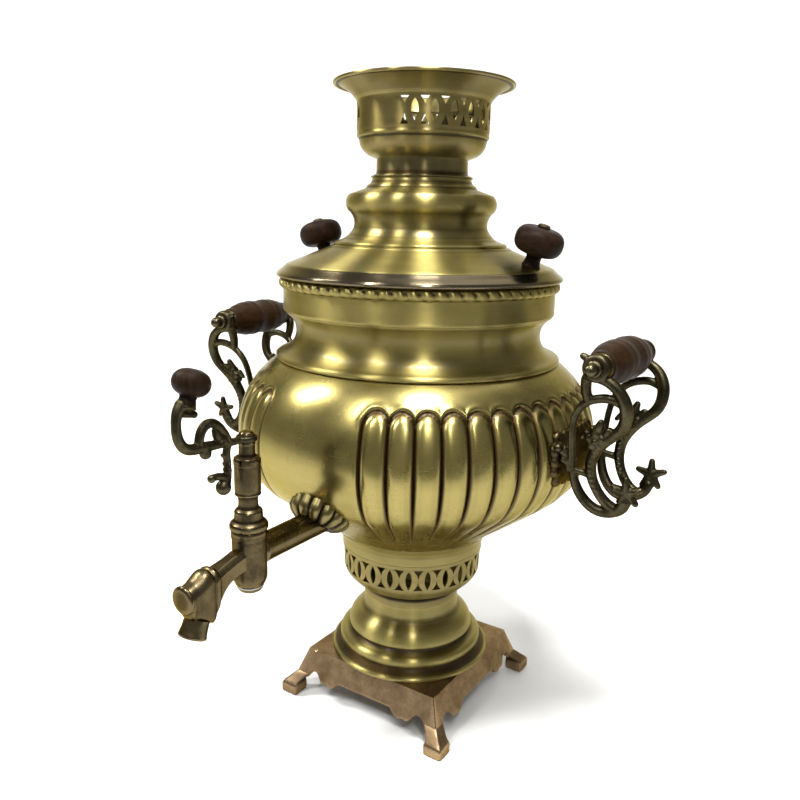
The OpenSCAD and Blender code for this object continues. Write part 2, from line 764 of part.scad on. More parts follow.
// Places a piece on the lid's cone, square to it, on both sides
module at_knobs() {
    for (s = [0, 1]) mirror([s, 0, 0]) at_right_knob() children();
}

module at_right_knob() {
    translate([knob_out, 0, 363.6]) rotate([0, knob_lean, 0]) children();
}

// What lies under the lid's cone, for seating the knobs
module lid_cone_space() {
    turned([[0, 330], [lid_r, 330], [lid_r, seat_z + 2.8], [104.6, 356.8], [100.4, 360.4],
        [90, 364.8], [64.5, bell_z], [0, bell_z]]);
}

// Wooden knob: a flattened ball on a slim stem, turned in one piece
module knob() {
    color(WOOD) difference() {
        at_right_knob() difference() {
            rotate_extrude() polygon(concat(
                [[0, -4], [6.8, -4], [6.6, 1], [5.4, 5], [5.6, 8], [7, 9.6]],
                arc([knob_r - 10, 17.6], 10, -66, 70, 9),
                [[4.6, 28], [0, 28]]));
            translate([0, 0, -8]) cylinder(r = screw_r + 0.1, h = 40);
        }
        lid_cone_space();
    }
}

module knob_right() { knob(); }
module knob_left() { mirror([1, 0, 0]) knob(); }

module knob_screws() {
    color(STEEL) at_knobs() {
        translate([0, 0, -9]) cylinder(r = screw_r, h = 37.5);
        translate([0, 0, 28]) rotate_extrude()
            polygon([[0, 0], [4.4, 0], [4.2, 1.4], [3, 2.2], [0, 2.4]]);
    }
}

module lid_nuts() {
    color(STEEL) at_knobs() translate([0, 0, -5.2]) difference() {
        cylinder(r = 4.4, h = 3, $fn = 6);
        translate([0, 0, -1]) cylinder(r = screw_r + 0.05, h = 6);
    }
}

// ---------------------------------------------------------------- crown

module crown_neck() {
    outer = [[38.6, step_z], [38.6, step_z + 1], [neck_r + neck_wall, step_z + 1.8],
        [neck_r + neck_wall, bowl_z]];
    color(DARK_BRASS) turned_shell(outer, [[neck_r, step_z], [neck_r, bowl_z]]);
}

module crown_bowl() {
    outer = concat([[neck_r + neck_wall, bowl_z]], arc([34.5, 452], 13.2, -72, -6, 6),
        [[49.2, 453.2], [49.2, band_z]]);
    inner = concat([[neck_r, bowl_z]], arc([34, 452.4], 12.4, -72, -6, 5),
        [[47.6, 454], [47.6, band_z]]);
    color(BRASS) turned_shell(outer, inner);
}

// Pierced columns come in two groups, with plain sheet between them
crown_step = 8.25;
crown_first = 16.5;
crown_columns = 16;

module arch_column() {
    translate([-2.5, 9.4]) square([5, 5]);
    polygon([[-2.5, 14.3], [2.5, 14.3], [0, 18.6]]);
    polygon([[-2.2, 8], [2.2, 8], [0, 4]]);
}

module spike_column() {
    polygon([[-3.2, 1.6], [3.2, 1.6], [0, 7.6]]);
    polygon([[-2.6, 20.4], [2.6, 20.4], [0, 16.2]]);
}

module crown_gallery() {
    outer = [[49.6, band_z], [49.6, rim_z]];
    inner = [[48.2, band_z], [48.2, rim_z]];
    color(BRASS) difference() {
        turned_shell(outer, inner);
        for (side = [0, 180], i = [0:crown_columns - 1])
            rotate(side + crown_first + i * crown_step)
                translate([0, -44, band_z]) rotate([90, 0, 0]) linear_extrude(10)
                    if (i % 2 == 0) spike_column(); else arch_column();
    }
}

module crown_rim() {
    outer = concat([[49.8, rim_z]], arc([72.3, 465], 26, 149, 104, 6),
        [[crown_r, top_z - 1], [crown_r, top_z]]);
    inner = concat([[48.2, rim_z]], arc([72.3, 465], 27.3, 151, 108, 6), [[crown_r - 2.4, top_z]]);
    color(BRASS) turned_shell(outer, inner);
}

base_casting();
base_studs();
pedestal();
vent_gallery();
foot_collar();
belly_shell();
collar_shell();
bead_trim();
tank_bottom();
fire_tube();
grate();
handle_boss_right();
bracket_front_right();
bracket_rear_right();
grip_right();
grip_ferrules_right();
grip_rod_right();
grip_nuts_right();
handle_boss_left();
bracket_front_left();
bracket_rear_left();
grip_left();
grip_ferrules_left();
grip_rod_left();
grip_nuts_left();
tap_rosette();
tap_body();
tap_outlet_plug();
tap_nozzle();
key_plug();
key_washer();
key_end_nut();
key_scroll();
key_knob();
key_finial();
lid_plate();
lid_bell();
knob_right();
knob_left();
knob_screws();
lid_nuts();
crown_neck();
crown_bowl();
crown_gallery();
crown_rim();
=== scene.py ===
import math

import bmesh
import bpy
import numpy as np
from mathutils import Matrix, Vector
from mathutils.geometry import delaunay_2d_cdt


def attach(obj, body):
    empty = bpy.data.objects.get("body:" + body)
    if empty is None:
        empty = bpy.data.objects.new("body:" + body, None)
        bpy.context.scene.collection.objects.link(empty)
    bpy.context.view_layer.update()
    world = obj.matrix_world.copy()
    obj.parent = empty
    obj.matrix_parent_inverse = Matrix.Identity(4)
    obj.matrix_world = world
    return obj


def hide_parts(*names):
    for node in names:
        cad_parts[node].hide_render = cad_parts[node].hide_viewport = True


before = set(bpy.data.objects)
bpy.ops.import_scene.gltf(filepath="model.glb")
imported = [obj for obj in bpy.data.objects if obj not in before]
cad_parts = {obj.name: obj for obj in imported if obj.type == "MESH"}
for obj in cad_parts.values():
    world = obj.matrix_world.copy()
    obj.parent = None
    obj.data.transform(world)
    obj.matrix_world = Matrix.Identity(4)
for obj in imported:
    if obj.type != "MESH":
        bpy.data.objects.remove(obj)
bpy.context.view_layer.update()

# Lengths of the object are in millimetres, in the CAD frame: the tap along -Y, the handles along X.
# Places of the camera, the lights and the floor are in metres.
MM = 0.001

# -------------------- camera, light and stage

VIEW_TURN = 32  # the camera stands this many degrees from the tap's side, towards +X
CAMERA_AT = (0.31779, -0.50897, 0.39441)
CAMERA_TILT = (76.6197, -1.2118, 33.4984)  # degrees about X, Y and Z
LENS, SENSOR = 34.305, 36


def link(name, data):
    """A new object in the scene"""
    made = bpy.data.objects.new(name, data)
    bpy.context.scene.collection.objects.link(made)
    return made


def set_camera():
    data = bpy.data.cameras.new("camera")
    data.sensor_width, data.lens, data.clip_start = SENSOR, LENS, 0.02
    camera = link("camera", data)
    camera.location = CAMERA_AT
    camera.rotation_euler = [math.radians(a) for a in CAMERA_TILT]
    bpy.context.scene.camera = camera


def area_light(name, turn, distance, height, width, tall, power, target=0.28):
    """A soft box. turn counts in degrees from the camera's own side to its right, target is a height."""
    data = bpy.data.lights.new(name, "AREA")
    data.shape = "RECTANGLE"
    data.size, data.size_y = width, tall
    data.energy = power
    light = link(name, data)
    a = math.radians(VIEW_TURN + turn)
    light.location = (math.sin(a) * distance, -math.cos(a) * distance, height)
    aim = Vector((0, 0, target)) - light.location
    light.rotation_euler = aim.to_track_quat("-Z", "Y").to_euler()


def set_world():
    world = bpy.data.worlds.new("world")
    bpy.context.scene.world = world
    world.use_nodes = True
    background = world.node_tree.nodes["Background"]
    background.inputs["Color"].default_value = (0.62, 0.62, 0.60, 1)
    background.inputs["Strength"].default_value = 0.52
    bpy.context.scene.view_settings.view_transform = "Standard"


def add_stage():
    """A pale sweep: floor, a wide curve, and a wall behind the object"""
    near, curve_at, bend, wall, half_width = -0.7, 1, 0.8, 3, 2.6
    sweep = [(near, 0)] + [(curve_at + bend * math.sin(a), bend - bend * math.cos(a))
                           for a in np.linspace(0, math.pi / 2, 17)] + [(curve_at + bend, wall)]
    turn = math.radians(VIEW_TURN)
    ahead = Vector((-math.sin(turn), math.cos(turn), 0))
    side = Vector((math.cos(turn), math.sin(turn), 0))
    verts = [ahead * d + side * s + Vector((0, 0, z)) for d, z in sweep for s in (-half_width, half_width)]
    faces = [(2 * i, 2 * i + 1, 2 * i + 3, 2 * i + 2) for i in range(len(sweep) - 1)]
    mesh = bpy.data.meshes.new("floor")
    mesh.from_pydata(verts, [], faces)
    mesh.shade_smooth()
    floor = link("floor", mesh)
    paper = bpy.data.materials.new("pale_paper")
    paper.use_nodes = True
    shader = paper.node_tree.nodes["Principled BSDF"]
    shader.inputs["Base Color"].default_value = (0.86, 0.86, 0.85, 1)
    shader.inputs["Roughness"].default_value = 0.9
    mesh.materials.append(paper)


set_camera()
area_light("window_left", -98, 1.4, 1.6, 0.22, 0.6, 28)
area_light("lamp_left", -46, 1.1, 1.7, 0.05, 0.6, 16)
area_light("lamp_middle", 7, 1.3, 1.6, 0.08, 0.6, 11)
area_light("lamp_above", 12, 0.50, 1.85, 0.36, 0.30, 32)
area_light("top", 150, 0.8, 2.4, 1.6, 1.6, 16, 0.2)
set_world()
add_stage()

# -------------------- materials


class Look:
    """A node material on the Principled shader, with short names for the nodes that it is built from"""

    def __init__(self, name, slot, roughness, metallic, **inputs):
        self.material = bpy.data.materials.new(name)
        self.material.use_nodes = True
        self.tree = self.material.node_tree
        self.shader = self.tree.nodes["Principled BSDF"]
        self.feed(self.shader, Roughness=roughness, Metallic=metallic, **inputs)
        self.place = self.node("TexCoord").outputs["Object"]
        self.cavity = self.node("Attribute", attribute_name="cavity").outputs["Fac"]

    def connect(self, value, socket):
        if isinstance(value, bpy.types.NodeSocket):
            self.tree.links.new(value, socket)
        else:
            socket.default_value = value

    def feed(self, made, *first, **named):
        """Fills a node in: its inputs in order, then a setting for each lower-case name, and an input for
        any other name, with _ for a space"""
        for key, value in (*enumerate(first), *named.items()):
            if isinstance(key, int):
                self.connect(value, made.inputs[key])
            elif key.islower():
                setattr(made, key, value)
            else:
                self.connect(value, made.inputs[key.replace("_", " ")])

    def node(self, kind, *first, **named):
        made = self.tree.nodes.new("ShaderNode" + kind)
        self.feed(made, *first, **named)
        return made

    def math(self, operation, a, b):
        return self.node("Math", a, b, operation=operation).outputs[0]

    def add(self, a, b):
        return self.math("ADD", a, b)

    def vector(self, operation, *first, **named):
        return self.node("VectorMath", *first, operation=operation, **named).outputs

    def span(self, value, low, high, to_low=0, to_high=1):
        """Maps the stretch from low to high onto another one"""
        return self.node("MapRange", Value=value, From_Min=low, From_Max=high, To_Min=to_low,
                         To_Max=to_high).outputs[0]

    def mix(self, factor, a, b):
        """Blends two colours; the inputs 6 and 7 of the node are its colours"""
        made = self.node("Mix", data_type="RGBA")
        for index, value in ((0, factor), (6, a), (7, b)):
            self.connect((*value, 1) if isinstance(value, tuple) else value, made.inputs[index])
        return made.outputs[2]

    def noise(self, where, scale, detail, **more):
        return self.node("TexNoise", Vector=where, Scale=scale, Detail=detail, **more).outputs["Fac"]

    def brushed(self, round_scale, fine_scale, detail, **more):
        """Noise that runs slowly round the tank's axis and fast along a turned outline"""
        xyz = self.node("SeparateXYZ", self.place).outputs
        flat = self.node("CombineXYZ", xyz[0], xyz[1]).outputs[0]
        radius = self.vector("LENGTH", flat)["Value"]
        unit = self.vector("NORMALIZE", flat)[0]
        slow = self.node("SeparateXYZ", self.vector("SCALE", unit, Scale=round_scale)[0]).outputs
        height = self.math("MULTIPLY", xyz[2], fine_scale)
        where = self.node("CombineXYZ", slow[0], slow[1], height).outputs[0]
        return self.noise(where, 1, detail, noise_dimensions="4D",
                          W=self.math("MULTIPLY", radius, fine_scale), **more)

    def done(self, colour, roughness, height, strength, distance):
        """Links up colour, roughness and bump"""
        bump = self.node("Bump", Strength=strength, Distance=distance, Height=height).outputs[0]
        self.feed(self.shader, Base_Color=colour, Roughness=roughness, Normal=bump)
        return self.material


def scaled(colour, factor):
    return tuple(min(1, factor * c) for c in colour)


def spun_metal(name, slot, colour, dark, roughness, brush, hollow=(0.075, 0.047, 0.016), anisotropic=0.9):
    """Turned and brushed metal: marks run round the axis, hollows hold dark patina, and painted shade that
    darken adds takes the same hollow colour
    """
    look = Look(name, slot, roughness, 1, Anisotropic=anisotropic, Anisotropic_Rotation=0.25,
                Coat_Weight=0.25, Coat_Roughness=0.22, Specular_Tint=(0.68, 0.6, 0.36, 1))
    look.feed(look.shader, Tangent=look.node("Tangent", direction_type="RADIAL", axis="Z").outputs[0])
    lines = look.brushed(2.6, 900, 3, Roughness=0.65)
    bands = look.brushed(1.4, 160, 2)
    clouds = look.noise(look.place, 26, 4, Roughness=0.6)
    specks = look.noise(look.place, 420, 2)
    tone = look.add(look.span(clouds, 0.35, 0.65, -0.16, 0.16), look.span(bands, 0.3, 0.7, -0.18, 0.18))
    tone = look.add(tone, look.span(lines, 0.3, 0.7, -0.3 * brush, 0.3 * brush))
    base = look.mix(look.span(tone, -0.5, 0.5), dark, colour)
    base = look.mix(look.span(specks, 0.66, 0.8, 0, 0.7 * brush), base, scaled(dark, 0.4))
    base = look.mix(look.span(look.cavity, 0.08, 0.9), base, hollow)
    base = look.mix(look.span(look.cavity, -0.1, -0.9, 0, 0.4), base, scaled(colour, 1.25))
    rough = look.add(look.span(lines, 0.3, 0.7, roughness - 0.08 * brush, roughness + 0.1 * brush),
                     look.span(look.cavity, 0.1, 0.9, 0, 0.3))
    rough = look.add(rough, look.span(clouds, 0.4, 0.7, 0, 0.06))
    return look.done(base, rough, lines, 0.7 * brush, 0.06 * MM)


def cast_metal(name, slot, colour, dark, roughness, grain=0.25):
    """Cast metal with patina: fine grain of a depth in millimetres, dark hollows, rubbed high spots"""
    look = Look(name, slot, roughness, 1, Specular_Tint=(0.6, 0.5, 0.34, 1))
    clouds = look.noise(look.place, 70, 5, Roughness=0.65)
    fine = look.noise(look.place, 650, 3, Roughness=0.6)
    base = look.mix(look.span(clouds, 0.36, 0.64), dark, colour)
    base = look.mix(look.span(fine, 0.5, 0.75, 0, 0.4), base, scaled(dark, 0.45))
    base = look.mix(look.span(look.cavity, 0.05, 0.8), base, (0.02, 0.015, 0.01))
    base = look.mix(look.span(look.cavity, -0.15, -0.9, 0, 0.4), base, scaled(colour, 1.7))
    rough = look.add(look.span(fine, 0.3, 0.7, roughness - 0.06, roughness + 0.08),
                     look.span(look.cavity, -0.8, 0.8, -0.08, 0.2))
    height = look.add(look.math("MULTIPLY", clouds, 0.8), look.math("MULTIPLY", fine, 0.35))
    return look.done(base, rough, height, 0.5, grain * MM)


def turned_wood(name, colour, dark, axis):
    """Dark stained wood with a satin coat; the grain runs along axis"""
    look = Look(name, "wood", 0.5, 0, IOR=1.13)
    stretch = [260] * 3
    stretch[axis] = 28.0
    along = look.vector("MULTIPLY", look.place, tuple(stretch))[0]
    grain = look.noise(along, 1, 5, Roughness=0.6, Distortion=0.5)
    pores = look.noise(look.vector("MULTIPLY", look.place, tuple(4.5 * s for s in stretch))[0], 1, 2)
    base = look.mix(look.span(grain, 0.33, 0.66), dark, colour)
    base = look.mix(look.span(pores, 0.6, 0.75, 0, 0.7), base, scaled(dark, 0.35))
    base = look.mix(look.span(look.cavity, 0.1, 0.9, 0, 0.8), base, scaled(dark, 0.4))
    return look.done(base, look.span(grain, 0.3, 0.7, 0.36, 0.5), look.add(grain, pores), 0.3, 0.12 * MM)


# The second colour, near black, is patina in hollows and painted shade on the faces inside the crown
YELLOW, PATINA_AND_SHADE = (0.30, 0.247, 0.080), (0.022, 0.015, 0.007)
BRASS = spun_metal("brushed_brass", "brass", YELLOW, (0.19, 0.155, 0.048), 0.34, 0.3, anisotropic=0.96)
PRESSED = spun_metal("satin_brass", "brass", YELLOW, (0.21, 0.171, 0.053), 0.25, 0.05, anisotropic=0.4)
# darker brass for the crown's neck under its bowl: partly patina, partly painted shade
NECK = spun_metal("dark_brushed_brass", "dark_brass", (0.19, 0.158, 0.066), (0.10, 0.082, 0.032), 0.32, 0.4,
                  anisotropic=0.96)
# the lid's flange is coloured dark brown: painted shade for its shadowed outer edge
FLANGE = spun_metal("dark_glossy_flange", "brass", (0.12, 0.095, 0.055), (0.07, 0.055, 0.032), 0.16, 0.3)
# for the crown's bowl and rim and for both pierced galleries: browner brass whose near-black hollow colour is
# patina in its hollows and painted shade on the crown's inner faces
BROWN_BRASS_PATINA_AND_SHADE = spun_metal("brown_brass_patina_and_shade", "brass", (0.245, 0.195, 0.068), (0.15, 0.118, 0.040), 0.34, 0.3, PATINA_AND_SHADE, 0.96)
ROSETTE = spun_metal("pressed_brass", "brass", (0.19, 0.155, 0.06), (0.11, 0.087, 0.032), 0.3, 0.1,
                     (0.03, 0.02, 0.008), 0)
BRONZE = cast_metal("brown_bronze", "dark_brass", (0.26, 0.18, 0.10), (0.15, 0.10, 0.055), 0.36)
TAP = cast_metal("tap_bronze", "dark_brass", (0.105, 0.081, 0.042), (0.052, 0.040, 0.021), 0.30, 0.12)
CAST = cast_metal("cast_patina", "cast_brass", (0.070, 0.060, 0.034), (0.027, 0.023, 0.013), 0.36, 0.4)
# the handle bosses are coloured near black: painted shade, as they lie in shadow behind the brackets
SHADED_BOSS = cast_metal("boss_painted_shade", "cast_brass", (0.062, 0.045, 0.022), (0.030, 0.022, 0.012), 0.38)
STEEL = cast_metal("dull_steel", "steel", (0.33, 0.32, 0.30), (0.2, 0.19, 0.18), 0.45)
SCREW = cast_metal("dark_screw", "steel", (0.075, 0.058, 0.040), (0.034, 0.027, 0.020), 0.4)
IRON = cast_metal("sooty_iron", None, (0.06, 0.055, 0.05), (0.03, 0.028, 0.026), 0.6)
GRIP_WOOD = turned_wood("dark_wood_grip", (0.030, 0.0145, 0.0055), (0.0135, 0.007, 0.0025), 1)
KNOB_WOOD = turned_wood("dark_wood_knob", (0.026, 0.013, 0.007), (0.012, 0.007, 0.005), 0)
KEY_WOOD = turned_wood("dark_wood_key", (0.022, 0.012, 0.006), (0.010, 0.006, 0.0035), 2)

# -------------------- making meshes
# A shape is a list of points in millimetres with a list of faces.

MIRROR = Matrix.Scale(-1, 4, (1, 0, 0))
SIDES = (("right", Matrix.Identity(4)), ("left", MIRROR))


def make(name, shape, material, nodes=(), body="tank", cavity=None, sharp=38):
    """A piece that rides on a body and stands for CAD nodes, or else for the node of its own name"""
    points, faces = shape
    mesh = bpy.data.meshes.new(name)
    mesh.from_pydata((np.asarray(points, float) * MM).tolist(), [], faces)
    mesh.update()
    mesh.shade_smooth()
    mesh.set_sharp_from_angle(angle=math.radians(sharp))
    mesh.materials.append(material)
    if cavity is not None:
        layer = mesh.attributes.new("cavity", "FLOAT", "POINT")
        layer.data.foreach_set("value", np.asarray(cavity, np.float32))
    piece = link(name, mesh)
    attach(piece, body)
    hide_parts(*(nodes or [name]))
    return piece


def moved(x=0, y=0, z=0, rx=0, ry=0, rz=0):
    """A placement in millimetres and degrees: turned about X, then Y, then Z, then moved"""
    turns = [Matrix.Rotation(math.radians(a), 4, axis) for a, axis in ((rz, "Z"), (ry, "Y"), (rx, "X"))]
    return Matrix.Translation((x, y, z)) @ turns[0] @ turns[1] @ turns[2]


def placed(shape, place):
    """The shape moved by a matrix; a mirror turns its faces round"""
    points, faces = shape
    place = np.array(place)
    if np.linalg.det(place[:3, :3]) < 0:
        faces = [f[::-1] for f in faces]
    return (np.c_[points, np.ones(len(points))] @ place.T)[:, :3], faces


def join(*shapes):
    points, faces = [], []
    for more, its_faces in shapes:
        first = len(points)
        points += [tuple(p) for p in more]
        faces += [[first + i for i in face] for face in its_faces]
    return points, faces


def grid(rows, count, loop=False):
    """Faces between rows of points that run round; loop joins the last row to the first"""
    return [[i * count + j, i * count + (j + 1) % count, (i + 1) % rows * count + (j + 1) % count,
             (i + 1) % rows * count + j] for i in range(rows if loop else rows - 1) for j in range(count)]


def loft(sections):
    """Skins closed sections that have the same number of points, and closes both ends"""
    n = len(sections[0])
    last = (len(sections) - 1) * n
    caps = [list(range(n))[::-1], [last + j for j in range(n)]]
    return [tuple(p) for s in sections for p in s], grid(len(sections), n) + caps


def arc(cx, cz, r, a0, a1, n):
    return [(cx + r * math.cos(math.radians(a)), cz + r * math.sin(math.radians(a)))
            for a in np.linspace(a0, a1, n + 1)]


def soften(points, radius, closed=True):
    """Rounds the corners of an outline, so that edges catch the light"""
    straight = math.radians(14)
    out, n = [], len(points)
    for i, p in enumerate(points):
        if not closed and i in (0, n - 1):
            out.append(p)
            continue
        a, b, c = (np.array(points[(i + k) % n], float) for k in (-1, 0, 1))
        u, v = a - b, c - b
        lu, lv = np.linalg.norm(u), np.linalg.norm(v)
        if lu < 1e-6 or lv < 1e-6:
            continue
        turn = math.acos(max(-1, min(1, np.dot(u, v) / lu / lv)))
        if math.pi - turn < straight:
            out.append(tuple(b))
            continue
        cut = min(radius / math.tan(turn / 2), 0.4 * lu, 0.4 * lv)
        start, end = b + u / lu * cut, b + v / lv * cut
        for t in (0, 0.33, 0.67, 1):
            out.append(tuple((1 - t) ** 2 * start + 2 * t * (1 - t) * b + t ** 2 * end))
    return out


def resample(points, step, closed=True):
    """Splits long stretches of an outline"""
    out, n = [], len(points)
    for i in range(n if closed else n - 1):
        a, b = np.array(points[i], float), np.array(points[(i + 1) % n], float)
        k = max(1, int(np.linalg.norm(b - a) / step))
        out += [tuple(a + (b - a) * j / k) for j in range(k)]
    if not closed:
        out.append(points[-1])
    return out


def outline_cavity(points, reach, depth, closed):
    """How hollow an outline is at each point, from 1 in a groove to -1 on an edge: it is held against a
    chord that reaches so far to both sides. The outline goes up on the outside, with the material on
    its left."""
    p = np.array(points, float)
    n = len(p)
    seg = np.linalg.norm(np.roll(p, -1, 0) - p, axis=1)
    if not closed:
        seg[-1] = 0
    s = np.concatenate([[0], np.cumsum(seg)])

    def at(q):
        q = np.clip(q % s[-1] if closed else q, 0, s[-1])
        i = np.clip(np.searchsorted(s, q, side="right") - 1, 0, n - 1)
        t = ((q - s[i]) / np.maximum(seg[i], 1e-9))[:, None]
        return p[i] * (1 - t) + p[(i + 1) % n] * t
    a, b = at(s[:-1] - reach), at(s[:-1] + reach)
    chord = b - a
    length = np.maximum(np.linalg.norm(chord, axis=1), 1e-6)
    outwards = np.stack([chord[:, 1], -chord[:, 0]], 1) / length[:, None]
    lift = np.einsum("ij,ij->i", p - (a + b) / 2, outwards)
    return np.clip(-lift / depth, -1, 1)


def revolve(points, count):
    """A turned form and its rows of points. An outline that starts on the axis ends there too, and any
    other is closed on itself."""
    angles = np.linspace(0, 2 * math.pi, count, endpoint=False)
    verts, rows, faces = [], [], []
    for r, z in points:
        if r < 1e-6:
            rows.append([len(verts)] * count)
            verts.append((0, 0, z))
        else:
            rows.append(list(range(len(verts), len(verts) + count)))
            verts += [(r * math.cos(a), r * math.sin(a), z) for a in angles]
    for i in range(len(rows) if points[0][0] > 0 else len(rows) - 1):
        low, high = rows[i], rows[(i + 1) % len(rows)]
        for j in range(count):
            k = (j + 1) % count
            face = [low[j], low[k], high[k], high[j]]
            faces.append([v for m, v in enumerate(face) if v != face[m - 1]])
    return np.array(verts), faces, rows


def lathe(name, points, material, nodes=(), body="tank", count=160, place=None, edge=0.35, step=1.2,
          reach=2.2, depth=0.55):
    """A turned piece. points run up the outside and down the inside, or from the axis back to it. edge
    rounds its corners, and reach and depth are for finding its hollows."""
    closed = points[0][0] > 0
    line = resample(soften(points, edge, closed), step, closed)
    verts, faces, rows = revolve(line, count)
    cavity = np.zeros(len(verts))
    for row, value in zip(rows, outline_cavity(line, reach, depth, closed)):
        cavity[row] = value
    shape = placed((verts, faces), place) if place is not None else (verts, faces)
    return make(name, shape, material, nodes, body, cavity)


def read(items, key, width=1, kind=float):
    """A mesh property as an array"""
    values = np.zeros(len(items) * width, kind)
    items.foreach_get(key, values)
    return values.reshape(-1, width) if width > 1 else values


def neighbour_mean(points, edges):
    """For each point the mean of the points that share an edge with it"""
    a, b = edges.T
    n = len(points)
    total = [np.bincount(a, points[b, k], n) + np.bincount(b, points[a, k], n) for k in range(3)]
    count = np.maximum(np.bincount(edges.reshape(-1), minlength=n), 1)
    return np.stack(total, 1) / count[:, None]


def shade_hollows(piece, rounds, depth):
    """Writes the cavity attribute: how far each point lies under (+) or over (-) its smoothed surroundings"""
    mesh = piece.data
    points = read(mesh.vertices, "co", 3) / MM
    edges = read(mesh.edges, "vertices", 2, int)
    smooth = points
    for _ in range(rounds):
        smooth = 0.5 * smooth + 0.5 * neighbour_mean(smooth, edges)
    lift = np.einsum("ij,ij->i", points - smooth, read(mesh.vertices, "normal", 3))
    layer = mesh.attributes.get("cavity") or mesh.attributes.new("cavity", "FLOAT", "POINT")
    layer.data.foreach_set("value", np.clip(-lift / depth, -1, 1).astype(np.float32))


def darken(piece, amount, inside=False):
    """Raises the cavity value, which darkens the colour, where amount(radius, height) says, or only on faces
    that look at the axis; this paints shade on the pedestal's lower bead and inside the crown
    """
    mesh = piece.data
    points, normals = read(mesh.vertices, "co", 3) / MM, read(mesh.vertices, "normal", 3)
    radius = np.maximum(np.hypot(points[:, 0], points[:, 1]), 1e-6)
    more = np.asarray(amount(radius, points[:, 2]), float)
    if inside:
        more = more * ((points[:, :2] * normals[:, :2]).sum(1) / radius < -0.2)
    layer = mesh.attributes["cavity"].data
    layer.foreach_set("value", np.clip(read(layer, "value") + more, -1, 1).astype(np.float32))


def rework(piece, change, sharp):
    """Lets change edit the piece's mesh as a BMesh, then shades it again"""
    bm = bmesh.new()
    bm.from_mesh(piece.data)
    change(bm)
    bm.to_mesh(piece.data)
    bm.free()
    piece.data.shade_smooth()
    piece.data.set_sharp_from_angle(angle=math.radians(sharp))


def weld(bm, distance):
    """Joins points that lie on each other, as at a seam, and turns all faces outwards"""
    bmesh.ops.remove_doubles(bm, verts=bm.verts, dist=distance)
    bmesh.ops.recalc_face_normals(bm, faces=bm.faces)


def path(points):
    """A smooth curve through points with a radius each, with a point about every millimetre"""
    p = np.array(points, float)
    p = np.vstack([2 * p[0] - p[1], p, 2 * p[-1] - p[-2]])
    out = []
    for i in range(1, len(p) - 2):
        n = max(1, int(np.linalg.norm(p[i + 1, :3] - p[i, :3])))
        for t in np.arange(n) / n:
            out.append(0.5 * (2 * p[i] + (p[i + 1] - p[i - 1]) * t
                              + (2 * p[i - 1] - 5 * p[i] + 4 * p[i + 1] - p[i + 2]) * t ** 2
                              + (3 * p[i] - p[i - 1] - 3 * p[i + 1] + p[i + 2]) * t ** 3))
    out.append(p[-2])
    return np.array(out)


def tube(points, sides=14):
    """A round strand through points x, y, z, radius, with round ends"""
    line = path(points)
    spot, radius = line[:, :3], line[:, 3]
    ahead = np.gradient(spot, axis=0)
    ahead /= np.linalg.norm(ahead, axis=1)[:, None]
    across = np.cross(ahead[0], (0, 1, 0))
    if np.linalg.norm(across) < 0.1:
        across = np.cross(ahead[0], (1, 0, 0))
    rings, turns = [], np.linspace(0, 2 * math.pi, sides, endpoint=False)
    dome = [(math.sin(math.radians(a)), math.cos(math.radians(a))) for a in (0, 25, 50, 80)]
    for i in range(len(spot)):
        across = across - ahead[i] * np.dot(across, ahead[i])
        across /= np.linalg.norm(across)
        up = np.cross(ahead[i], across)
        steps = [(0, 1)]
        if i == 0:
            steps = [(-shift, size) for shift, size in dome[::-1]]
        elif i == len(spot) - 1:
            steps = dome
        for shift, size in steps:
            middle, r = spot[i] + ahead[i] * radius[i] * shift, radius[i] * size
            rings.append([middle + r * (across * math.cos(t) + up * math.sin(t)) for t in turns])
    return loft(rings)


def ball(x, y, z, r, sx=1, sy=1, count=16):
    outline = [(r * math.sin(a), -r * math.cos(a)) for a in np.linspace(0, math.pi, count // 2 + 1)]
    outline[0], outline[-1] = (0, -r), (0, r)
    verts, faces, _ = revolve(outline, count)
    return verts * (sx, sy, 1) + (x, y, z), faces


def turned_part(points, place, count=40):
    """A turned solid that becomes part of a casting"""
    return placed(revolve(points, count)[:2], place)


def fuse(parts, voxel, rounds=3):
    """Melts overlapping solids into one smooth casting"""
    points, faces = join(*parts)
    mesh = bpy.data.meshes.new("raw")
    mesh.from_pydata(points, [], faces)
    raw = link("raw", mesh)
    rework(raw, lambda bm: weld(bm, 1e-4), 180)
    melt = raw.modifiers.new("melt", "REMESH")
    melt.mode = "VOXEL"
    melt.voxel_size = voxel
    done = bpy.data.meshes.new_from_object(raw.evaluated_get(bpy.context.evaluated_depsgraph_get()))
    points, edges = read(done.vertices, "co", 3), read(done.edges, "vertices", 2, int)
    faces = [list(f.vertices) for f in done.polygons]
    bpy.data.objects.remove(raw)
    bpy.data.meshes.remove(mesh)
    bpy.data.meshes.remove(done)
    for amount in (0.5, -0.52) * rounds:
        points = points + amount * (neighbour_mean(points, edges) - points)
    return points, faces


def casting(name, shape, material, nodes=(), body="tank", place=None):
    """A fused casting set in its place, with its hollows marked"""
    if place is not None:
        shape = placed(shape, place)
    shade_hollows(make(name, shape, material, nodes, body, sharp=180), 10, 0.5)

# -------------------- foot


